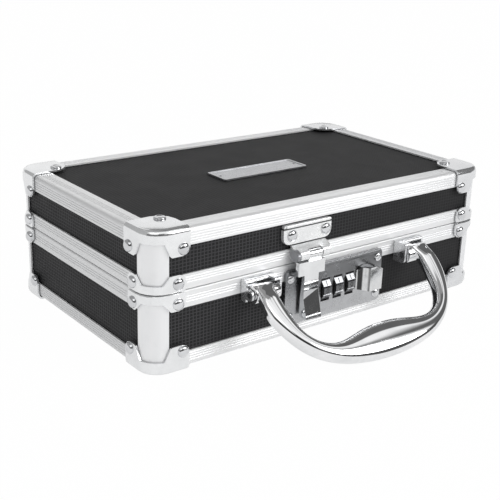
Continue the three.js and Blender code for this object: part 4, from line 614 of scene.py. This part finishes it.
def spline(points, count):
    """Centripetal Catmull-Rom through the points, sampled evenly by point number."""
    first = points[0] * 2 - points[1]
    last = points[-1] * 2 - points[-2]
    run = [first, *points, last]
    samples = []
    for i in range(count + 1):
        place = i / count * (len(points) - 1)
        k = min(int(place), len(points) - 2)
        t = place - k
        p0, p1, p2, p3 = run[k:k + 4]
        d0, d1, d2 = [math.sqrt((b - a).length) for a, b in ((p0, p1), (p1, p2), (p2, p3))]
        m1 = ((p1 - p0) / d0 - (p2 - p0) / (d0 + d1) + (p2 - p1) / d1) * d1
        m2 = ((p2 - p1) / d1 - (p3 - p1) / (d1 + d2) + (p3 - p2) / d2) * d1
        samples.append(
            p1 + m1 * t + (p2 * 3 - p1 * 3 - m1 * 2 - m2) * t ** 2 + (p1 * 2 - p2 * 2 + m1 + m2) * t ** 3
        )
    return samples


def relax(points, rounds):
    """Evens out a polyline whose first and last points stay."""
    for _ in range(rounds):
        points = [points[0]] + [
            points[i] * 0.5 + (points[i - 1] + points[i + 1]) * 0.25 for i in range(1, len(points) - 1)
        ] + [points[-1]]
    return points


def handle_mesh(bm):
    mirrored = [(-ox, outer, -ix, inner) for ox, outer, ix, inner in EDGE_SHARES]
    shares = mirrored + [(0.0, 1.0, 0.0, GRIP_INNER_SHARE)] + EDGE_SHARES[::-1]
    outer = relax(spline([Vector((s[0] * HALF_SPAN, s[1] * REACH)) for s in shares], STATIONS), RELAX_ROUNDS)
    inner = relax(spline([Vector((s[2] * HALF_SPAN, s[3] * REACH)) for s in shares], STATIONS), RELAX_ROUNDS)
    along = Vector((0, -math.cos(DROP), -math.sin(DROP)))
    normal = Vector((0, -math.sin(DROP), math.cos(DROP)))
    across = Vector((1, 0, 0))
    rings = []
    for i in range(STATIONS + 1):
        t = i / STATIONS
        far, near = outer[i], inner[i]
        centre, half = (far + near) / 2, (far - near) / 2
        full = ARM_THICKNESS + (GRIP_THICKNESS - ARM_THICKNESS) * math.sin(math.pi * t) ** 2
        taper = min(1.0, min(t, 1 - t) / END_TAPER)
        taper = taper * taper * (3 - 2 * taper)
        thickness = END_THICKNESS + (full - END_THICKNESS) * taper
        ring = []
        for k in range(SECTION):
            angle = 2 * math.pi * (k + 0.5) / SECTION
            c, s = math.cos(angle), math.sin(angle)
            u = math.copysign(abs(c) ** SECTION_POWER, c)
            v = math.copysign(abs(s) ** SECTION_POWER, s)
            flat = centre + half * u
            point = PIVOT + across * flat.x + along * flat.y + normal * (PLANE_LIFT + thickness / 2 * v)
            ring.append(bm.verts.new(point))
        rings.append(ring)
    skin(bm, rings)
    close_ends(bm, rings)
    low, high = BARREL_FROM, BARREL_TO
    face, corner = BARREL_RADIUS - BARREL_ROUND, BARREL_RADIUS - BARREL_ROUND_MIDDLE
    profile = [
        (BORE_RADIUS, low), (face, low),
        (corner, low + BARREL_ROUND_MIDDLE), (BARREL_RADIUS, low + BARREL_ROUND),
        (BARREL_RADIUS, high - BARREL_ROUND), (corner, high - BARREL_ROUND_MIDDLE),
        (face, high), (BORE_RADIUS, high),
    ]
    for sign in (-1, 1):
        lathe(bm, profile, PIVOT, (sign, 0, 0), BARREL_SIDES, close=True)


grip = new_piece("handle_bow", handle_mesh, CHROME, "handle")
sharpen(grip, 40)
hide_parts("handle")


# Hasp: knuckle, shoulder block and a bar whose lower half flares out as a finger lift.
HASP_Y, HASP_Z = -68.05, 42.0
KNUCKLE_LEFT, KNUCKLE_RIGHT, KNUCKLE_RADIUS = -20.7, -13.0, 2.3
KNUCKLE_BORE, KNUCKLE_ROUND, KNUCKLE_SIDES = 1.2, 0.25, 48
BAR_LEFT, BAR_RIGHT, BAR_TOP, BAR_BOTTOM = -23.0, -14.2, 33.2, 10.3
BAR_TOP_BACK, BAR_BACK, BAR_EDGE = 4.1, 2.9, 0.45
BAR_TOP_OFF, CREASE_OFF, TOE_OFF = 5.65, 5.6, 8.7
CREASE_LEFT, CREASE_RIGHT, TOE_TWIST = 20.0, 24.0, 0.35
# Blocks of the hasp: left, right, front and back off the box's front, heights, and broken edge.
SHOULDER = (-27.3, -11.3, 6.45, 4.0, (32.5, 39.2), 0.4)
NECK = (KNUCKLE_LEFT, KNUCKLE_RIGHT, 5.5, 3.6, (38.7, 41.2), 0.05)
NIB = (-20.4, -16.8, 3.2, 0.5, (10.8, 13.6), 0.2)
BROKEN_FROM_ANGLE = 0.6


def break_edges(bm, edges, width):
    bmesh.ops.bevel(bm, geom=edges, offset=width, segments=3, profile=0.5, affect="EDGES", clamp_overlap=True)


def chamfered(bm, corners, width):
    """A closed block through rings of four corners, from one end to the other, with broken edges."""
    rings = [[bm.verts.new(p) for p in ring] for ring in corners]
    faces = close_ends(bm, rings) + skin(bm, rings)
    edges = dict.fromkeys(edge for face in faces for edge in face.edges)
    break_edges(bm, [edge for edge in edges if edge.calc_face_angle(0) > BROKEN_FROM_ANGLE], width)


def hasp_ring(left, right, off_left, off_right, back, z_left, z_right):
    return [
        (left, -HALF_Y - off_left, z_left), (right, -HALF_Y - off_right, z_right),
        (right, -HALF_Y - back, z_right), (left, -HALF_Y - back, z_left),
    ]


def hasp_mesh(bm):
    ends = (BAR_LEFT, BAR_RIGHT)
    toe_left, toe_right = TOE_OFF - TOE_TWIST, TOE_OFF + TOE_TWIST
    chamfered(bm, [
        hasp_ring(*ends, BAR_TOP_OFF, BAR_TOP_OFF, BAR_TOP_BACK, BAR_TOP, BAR_TOP),
        hasp_ring(*ends, CREASE_OFF, CREASE_OFF, BAR_BACK, CREASE_LEFT, CREASE_RIGHT),
        hasp_ring(*ends, toe_left, toe_right, BAR_BACK, BAR_BOTTOM, BAR_BOTTOM),
    ], BAR_EDGE)
    for left, right, off, back, heights, edge in (SHOULDER, NECK, NIB):
        chamfered(bm, [hasp_ring(left, right, off, off, back, z, z) for z in heights], edge)
    length, face = KNUCKLE_RIGHT - KNUCKLE_LEFT, KNUCKLE_RADIUS - KNUCKLE_ROUND
    profile = [
        (KNUCKLE_BORE, 0.0), (face, 0.0), (KNUCKLE_RADIUS, KNUCKLE_ROUND),
        (KNUCKLE_RADIUS, length - KNUCKLE_ROUND), (face, length), (KNUCKLE_BORE, length),
    ]
    lathe(bm, profile, (KNUCKLE_LEFT, HASP_Y, HASP_Z), (1, 0, 0), KNUCKLE_SIDES, close=True)


strap = new_piece("hasp_strap", hasp_mesh, HASP, "hasp")
sharpen(strap, 12)
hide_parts("hasp")


# Cast cheek closing the left end of the hasp's barrel: flat behind, with a round heel and a round eye.
CHEEK_LEFT, CHEEK_RIGHT, CHEEK_EDGE = -28.3, -26.3, 0.3
CHEEK_BACK_OFF, CHEEK_TOP_OFF, CHEEK_TOP = 0.35, 3.2, 45.2
HEEL_OFF, HEEL_Z, HEEL_RADIUS, HEEL_STEPS = 2.95, 42.3, 2.6, 6
EYE_OFF, EYE_Z, EYE_RADIUS, EYE_STEPS, EYE_TURN_SHARE = 4.45, 42.0, 2.3, 10, 0.72


def cheek_mesh(bm):
    outline = [(CHEEK_BACK_OFF, CHEEK_TOP), (CHEEK_BACK_OFF, HEEL_Z)]
    for k in range(1, HEEL_STEPS + 1):
        angle = math.pi / 2 * k / HEEL_STEPS
        outline.append((HEEL_OFF - HEEL_RADIUS * math.cos(angle), HEEL_Z - HEEL_RADIUS * math.sin(angle)))
    for k in range(EYE_STEPS + 1):
        angle = math.pi * EYE_TURN_SHARE * k / EYE_STEPS
        outline.append((EYE_OFF + EYE_RADIUS * math.sin(angle), EYE_Z - EYE_RADIUS * math.cos(angle)))
    outline.append((CHEEK_TOP_OFF, CHEEK_TOP))
    rings = [[bm.verts.new((x, -HALF_Y - off, z)) for off, z in outline] for x in (CHEEK_LEFT, CHEEK_RIGHT)]
    left_face = close_ends(bm, rings)[0]
    skin(bm, rings)
    break_edges(bm, list(left_face.edges), CHEEK_EDGE)


sharpen(new_piece("catch_cheek", cheek_mesh, CHEEK, "lid"), 35)


# Return spring behind the button: its right end stays on the lock's seat.
SPRING_LEFT, SPRING_RIGHT, SPRING_Y, SPRING_Z = 22.9, 28.5, -59.55, 21.0
SPRING_RADIUS, WIRE_RADIUS = 1.7, 0.25
SPRING_TURNS, SPRING_STEPS, WIRE_SIDES = 4, 24, 10


def spring_mesh(bm):
    rings = []
    for i in range(SPRING_TURNS * SPRING_STEPS + 1):
        angle = math.tau * i / SPRING_STEPS
        share = i / (SPRING_TURNS * SPRING_STEPS)
        x = SPRING_LEFT + WIRE_RADIUS + (SPRING_RIGHT - SPRING_LEFT - 2 * WIRE_RADIUS) * share
        out = Vector((0, math.cos(angle), math.sin(angle)))
        middle = Vector((x, SPRING_Y, SPRING_Z)) + out * SPRING_RADIUS
        ring = []
        for k in range(WIRE_SIDES):
            turn = math.tau * k / WIRE_SIDES
            sideways = Vector((WIRE_RADIUS * math.sin(turn), 0, 0))
            ring.append(bm.verts.new(middle + out * WIRE_RADIUS * math.cos(turn) + sideways))
        rings.append(ring)
    skin(bm, rings)
    close_ends(bm, rings)


spring = new_piece("return_spring", spring_mesh, STEEL, "base")
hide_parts("button_spring")
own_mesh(spring)


# Numerals on the wheels, one to a facet.
DIAL_X = (-5.55, 2.35, 10.25)
DIAL_Y, DIAL_Z = -61.05, 19.9
DIAL_RADIUS, FACET_HALF_DEGREES, FACETS = 6.3, 14.04, 10
FACET_REACH = DIAL_RADIUS * math.cos(math.radians(FACET_HALF_DEGREES))
NUMERAL_SIZE, NUMERAL_DEPTH, NUMERAL_STRETCH, NUMERAL_OFF = 3.7, 0.02, 1.05, 0.015
NUMERAL_CURVE_STEPS = 4


def numeral_mesh(digit):
    curve = bpy.data.curves.new(f"digit_{digit}", "FONT")
    curve.body = str(digit)
    curve.size = NUMERAL_SIZE
    curve.extrude = NUMERAL_DEPTH
    curve.align_x = "CENTER"
    curve.align_y = "CENTER"
    curve.resolution_u = NUMERAL_CURVE_STEPS
    text = bpy.data.objects.new(f"digit_{digit}", curve)
    bpy.context.scene.collection.objects.link(text)
    bpy.context.view_layer.update()
    mesh = bpy.data.meshes.new_from_object(text.evaluated_get(bpy.context.evaluated_depsgraph_get()))
    bpy.data.objects.remove(text)
    return mesh


def numerals(index, centre_x):
    def make(bm):
        for digit in range(FACETS):
            mesh = numeral_mesh(digit)
            xs, ys = [[v.co[i] for v in mesh.vertices] for i in (0, 1)]
            middle = Vector(((min(xs) + max(xs)) / 2, (min(ys) + max(ys)) / 2, 0))
            angle = digit * math.tau / FACETS
            outward = Vector((0, -math.cos(angle), math.sin(angle)))
            upward = Vector((0, math.sin(angle), math.cos(angle)))
            sideways = Vector((1, 0, 0))
            place = Vector((centre_x, DIAL_Y, DIAL_Z)) + outward * (FACET_REACH + NUMERAL_OFF)
            for vertex in mesh.vertices:
                local = vertex.co - middle
                turned = sideways * local.x * NUMERAL_STRETCH + upward * local.y + outward * local.z
                vertex.co = place + turned
            bm.from_mesh(mesh)

    new_piece(f"dial_{index}_numerals", make, INK, f"dial_{index}")


for i, x in enumerate(DIAL_X, start=1):
    numerals(i, x)


# Linings: a felt tray in each half, soft at its corners and brim.
LINING_INSET, LINING_THICKNESS, LINING_PLAY = 5.3, 1.5, 0.05
LINING_CORNER, LEAST_CORNER = 9.3, 1.2
FOOT_ROUND, FOOT_MIDDLE_IN, FOOT_MIDDLE_UP = 2.0, 0.6, 0.5
BRIM_DEPTH, BRIM_RISE, FLOOR_ROUND = 0.8, 0.75, 2.6
CORNER_STEPS, LONG_STEPS, SHORT_STEPS = 8, 44, 24
WALL_STEPS, BRIM_STEPS, FLOOR_STEPS = 8, 4, 5
LOCK_NOTCH_LOW, LOCK_NOTCH_HIGH = Vector((-28, -HALF_Y, 8.1)), Vector((30.5, -52.65, 28.9))


def tray_ring(inset, z):
    """A rounded rectangle, inset from the shell's sides, whose long and short runs have even steps."""
    radius = max(LINING_CORNER - inset, LEAST_CORNER)
    x, y = HALF_X - inset - radius, HALF_Y - inset - radius
    points = []
    for quarter, (sx, sy) in enumerate([(1, 1), (-1, 1), (-1, -1), (1, -1)]):
        for k in range(CORNER_STEPS + 1):
            angle = (quarter + k / CORNER_STEPS) * math.pi / 2
            points.append((sx * x + radius * math.cos(angle), sy * y + radius * math.sin(angle), z))
        start = points[-1]
        is_long = quarter in (0, 2)
        goal = (-sx * x, start[1]) if is_long else (start[0], -sy * y)
        steps = LONG_STEPS if is_long else SHORT_STEPS
        for k in range(1, steps):
            share = k / steps
            across, along = (start[i] + (goal[i] - start[i]) * share for i in (0, 1))
            points.append((across, along, z))
    return points


def tray_mesh(floor, brim, inward):
    """floor is the height of the tray's outer floor, brim that of its rim, and inward the way to the rim."""
    def make(bm):
        outer, inner = LINING_INSET + LINING_PLAY, LINING_INSET + LINING_THICKNESS
        foot = floor + inward * FOOT_ROUND
        wall_top = brim - inward * BRIM_DEPTH
        profile = [
            (outer + FOOT_ROUND, floor),
            (outer + FOOT_MIDDLE_IN, floor + inward * FOOT_MIDDLE_UP),
            (outer, foot),
        ]
        for k in range(1, WALL_STEPS + 1):
            profile.append((outer, foot + (wall_top - foot) * k / WALL_STEPS))
        for k in range(1, BRIM_STEPS + 1):
            angle = k / BRIM_STEPS * math.pi
            inset = (outer + inner) / 2 - (inner - outer) / 2 * math.cos(angle)
            profile.append((inset, wall_top + inward * BRIM_RISE * math.sin(angle)))
        inner_floor = floor + inward * LINING_THICKNESS
        wall_end = inner_floor + inward * FLOOR_ROUND
        for k in range(1, WALL_STEPS + 1):
            profile.append((inner, wall_top + (wall_end - wall_top) * k / WALL_STEPS))
        for k in range(1, FLOOR_STEPS + 1):
            angle = k / FLOOR_STEPS * math.pi / 2
            inset = inner + FLOOR_ROUND * (1 - math.cos(angle))
            profile.append((inset, inner_floor + inward * FLOOR_ROUND * (1 - math.sin(angle))))
        rings = [[bm.verts.new(p) for p in tray_ring(inset, z)] for inset, z in profile]
        skin(bm, rings)
        close_ends(bm, rings)
    return make


def cut_box(obj, low, high):
    """Cuts a box, given in shell millimetres, out of a piece."""
    bm = bmesh.new()
    for vertex in bmesh.ops.create_cube(bm, size=1.0)["verts"]:
        share = vertex.co + Vector((0.5, 0.5, 0.5))
        vertex.co = at(*[low[i] + (high[i] - low[i]) * share[i] for i in range(3)])
    mesh = bpy.data.meshes.new("cutter")
    bm.to_mesh(mesh)
    bm.free()
    cutter = bpy.data.objects.new("cutter", mesh)
    bpy.context.scene.collection.objects.link(cutter)
    boolean = obj.modifiers.new("notch", "BOOLEAN")
    boolean.operation = "DIFFERENCE"
    boolean.solver = "EXACT"
    boolean.object = cutter
    bpy.context.view_layer.update()
    cut = bpy.data.meshes.new_from_object(obj.evaluated_get(bpy.context.evaluated_depsgraph_get()))
    obj.modifiers.clear()
    obj.data = cut
    bpy.data.objects.remove(cutter)


def lining_piece(name, body, node, floor, brim, inward, has_notch):
    obj = new_piece(name, tray_mesh(floor, brim, inward), FELT, body)
    if has_notch:
        cut_box(obj, LOCK_NOTCH_LOW, LOCK_NOTCH_HIGH)
    sharpen(obj, 50)
    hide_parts(node)


lining_piece("base_felt", "base", "base_lining", floor=4.05, brim=34.4, inward=1, has_notch=True)
lining_piece("lid_felt", "lid", "lid_lining", floor=61.65, brim=40.6, inward=-1, has_notch=False)


# Stage, light and camera

WHITE = (1, 1, 1, 1)
FLOOR_SIZE = 8.0
FLOOR_SEEN, FLOOR_MIRRORED = 0.985, 0.6


def floor_material():
    """White sheet. The camera sees it nearly pure white and mirrors partly so, with the shadow kept."""
    s = Surface("white_sheet", Roughness=0.9)
    fibre = s.noise(s.place()[0], 0.05, 3.0)
    s.set("Base Color", s.mix(fibre, tone("f1f1f1"), tone("f6f6f6")))
    path = s.tree.nodes.new("ShaderNodeLightPath")
    mirrored = s.math("MAXIMUM", path.outputs["Is Glossy Ray"], path.outputs["Is Transmission Ray"])
    seen = s.math("MULTIPLY", path.outputs["Is Camera Ray"], FLOOR_SEEN)
    share = s.math("MAXIMUM", seen, s.math("MULTIPLY", mirrored, FLOOR_MIRRORED))
    white = s.node("Emission", {"Color": WHITE, "Strength": 1.0})
    blend = s.node("MixShader", {0: share, 1: s.shader.outputs[0], 2: white})
    s.tree.links.new(blend, s.tree.nodes["Material Output"].inputs[0])
    return s.material


def lay_floor():
    half = FLOOR_SIZE / 2
    mesh = bpy.data.meshes.new("floor")
    corners = [(-half, -half, 0), (half, -half, 0), (half, half, 0), (-half, half, 0)]
    mesh.from_pydata(corners, [], [(0, 1, 2, 3)])
    mesh.materials.append(floor_material())
    obj = bpy.data.objects.new("floor", mesh)
    bpy.context.scene.collection.objects.link(obj)


WORLD_LEVEL, BACKGROUND_LEVEL = 0.62, 1.0


def studio_world():
    """Lights the object evenly. The camera sees a pure white background, and mirrors see the tent instead."""
    world = bpy.data.worlds.new("studio")
    bpy.context.scene.world = world
    world.use_nodes = True
    nodes, links = world.node_tree.nodes, world.node_tree.links
    nodes.clear()
    path = nodes.new("ShaderNodeLightPath")

    def greater(a, b):
        made = nodes.new("ShaderNodeMath")
        made.operation = "MAXIMUM"
        links.new(a, made.inputs[0])
        links.new(b, made.inputs[1])
        return made.outputs[0]

    def background(level):
        made = nodes.new("ShaderNodeBackground")
        made.inputs[0].default_value = WHITE
        made.inputs[1].default_value = level
        return made.outputs[0]

    mirrored = greater(path.outputs["Is Glossy Ray"], path.outputs["Is Transmission Ray"])
    blend = nodes.new("ShaderNodeMixShader")
    links.new(greater(path.outputs["Is Camera Ray"], mirrored), blend.inputs[0])
    links.new(background(WORLD_LEVEL), blend.inputs[1])
    links.new(background(BACKGROUND_LEVEL), blend.inputs[2])
    links.new(blend.outputs[0], nodes.new("ShaderNodeOutputWorld").inputs[0])


LIGHT_AIM = Vector((0, 0, 0.03))


def softbox(name, place, size, power):
    data = bpy.data.lights.new(name, "AREA")
    data.shape = "RECTANGLE"
    data.size, data.size_y = size
    data.energy = power
    obj = bpy.data.objects.new(name, data)
    bpy.context.scene.collection.objects.link(obj)
    obj.location = place
    obj.rotation_euler = (LIGHT_AIM - Vector(place)).to_track_quat("-Z", "Y").to_euler()


lay_floor()
studio_world()
softbox("key", (0.9, -1.25, 0.9), size=(0.9, 0.8), power=12)
softbox("fill", (-0.9, -0.9, 1.0), size=(1.0, 0.8), power=1.6)

# What mirrors see of the studio: (azimuth, half width, elevation, half height) in degrees, then the level.
# Azimuth turns from -Y towards +X. Later patches cover earlier ones. They were placed by trial, so that
# the chrome comes near the photograph.
TENT_LEVEL, TENT_RADIUS = 0.9, 3.0
PATCHES = [
    (0, 180, 82, 20, 0.3),
    (-37, 40, 18, 15, 0.04),
    (-128, 50, 34, 27, 0.4),
    (84, 28, 50, 44, 0.13),
    (137, 26, 54, 18, 0.2),
    (30, 30, 10, 12, 0.09),
    (-22, 44, 52, 15, 1.0),
    (30, 25, 34, 12, 1.0),
    (66, 7, 47, 6, 1.0),
]
PATCH_EDGE = 5.0


def tent_material():
    """A pale tent with dark screens and softboxes, each with soft edges."""
    s = Surface("studio_tent")
    _, x, y, z = s.place()
    flat = s.math("SQRT", s.math("ADD", s.math("MULTIPLY", x, x), s.math("MULTIPLY", y, y)))
    azimuth = s.math("DEGREES", s.math("ARCTAN2", x, s.math("MULTIPLY", y, -1.0)))
    elevation = s.math("DEGREES", s.math("ARCTAN2", z, flat))

    def within(distance, half):
        return s.range(distance, half - PATCH_EDGE / 2, half + PATCH_EDGE / 2, 1.0, 0.0, smooth=True)

    level = TENT_LEVEL
    for middle, half_width, height, half_height, value in PATCHES:
        turn = s.math("ABSOLUTE", s.math("WRAP", s.math("SUBTRACT", azimuth, middle), 180.0, -180.0))
        rise = s.math("ABSOLUTE", s.math("SUBTRACT", elevation, height))
        inside = s.math("MULTIPLY", within(turn, half_width), within(rise, half_height))
        level = s.math("MULTIPLY_ADD", inside, s.math("SUBTRACT", value, level), level)
    light = s.node("Emission", {"Color": WHITE, "Strength": level})
    s.tree.links.new(light, s.tree.nodes["Material Output"].inputs[0])
    return s.material


def raise_tent():
    """The sphere shows in glossy reflections alone. It lights no matt surface and casts no shadow."""
    bm = bmesh.new()
    bmesh.ops.create_uvsphere(bm, u_segments=48, v_segments=24, radius=TENT_RADIUS)
    mesh = bpy.data.meshes.new("studio_tent")
    bm.to_mesh(mesh)
    bm.free()
    mesh.materials.append(tent_material())
    obj = bpy.data.objects.new("studio_tent", mesh)
    bpy.context.scene.collection.objects.link(obj)
    obj.visible_camera = False
    obj.visible_diffuse = False
    obj.visible_transmission = False
    obj.visible_shadow = False


raise_tent()

# The camera's lens, place and angles were fitted to the box's edges in the photograph.
CAMERA_LENS, CAMERA_SENSOR, CAMERA_CLIP = 69.48, 36, 0.01
CAMERA_PLACE = (-303.51, -388.0, 197.64)
CAMERA_TURN, CAMERA_RISE, CAMERA_ROLL = [math.radians(v) for v in (-37.82, 19.9, 1.752)]


def place_camera():
    data = bpy.data.cameras.new("camera")
    data.lens = CAMERA_LENS
    data.sensor_width = CAMERA_SENSOR
    data.sensor_fit = "HORIZONTAL"
    data.clip_start = CAMERA_CLIP
    camera = bpy.data.objects.new("camera", data)
    bpy.context.scene.collection.objects.link(camera)
    bpy.context.scene.camera = camera
    turn, rise, roll = CAMERA_TURN, CAMERA_RISE, CAMERA_ROLL
    back = Vector((math.sin(turn) * math.cos(rise), -math.cos(turn) * math.cos(rise), math.sin(rise)))
    level = Vector((math.cos(turn), math.sin(turn), 0))
    upward = back.cross(level)
    right = level * math.cos(roll) + upward * math.sin(roll)
    up = upward * math.cos(roll) - level * math.sin(roll)
    pose = Matrix((right, up, back)).transposed().to_4x4()
    pose.translation = at(*CAMERA_PLACE)
    camera.matrix_world = pose


place_camera()

bpy.context.scene.view_settings.view_transform = "Standard"
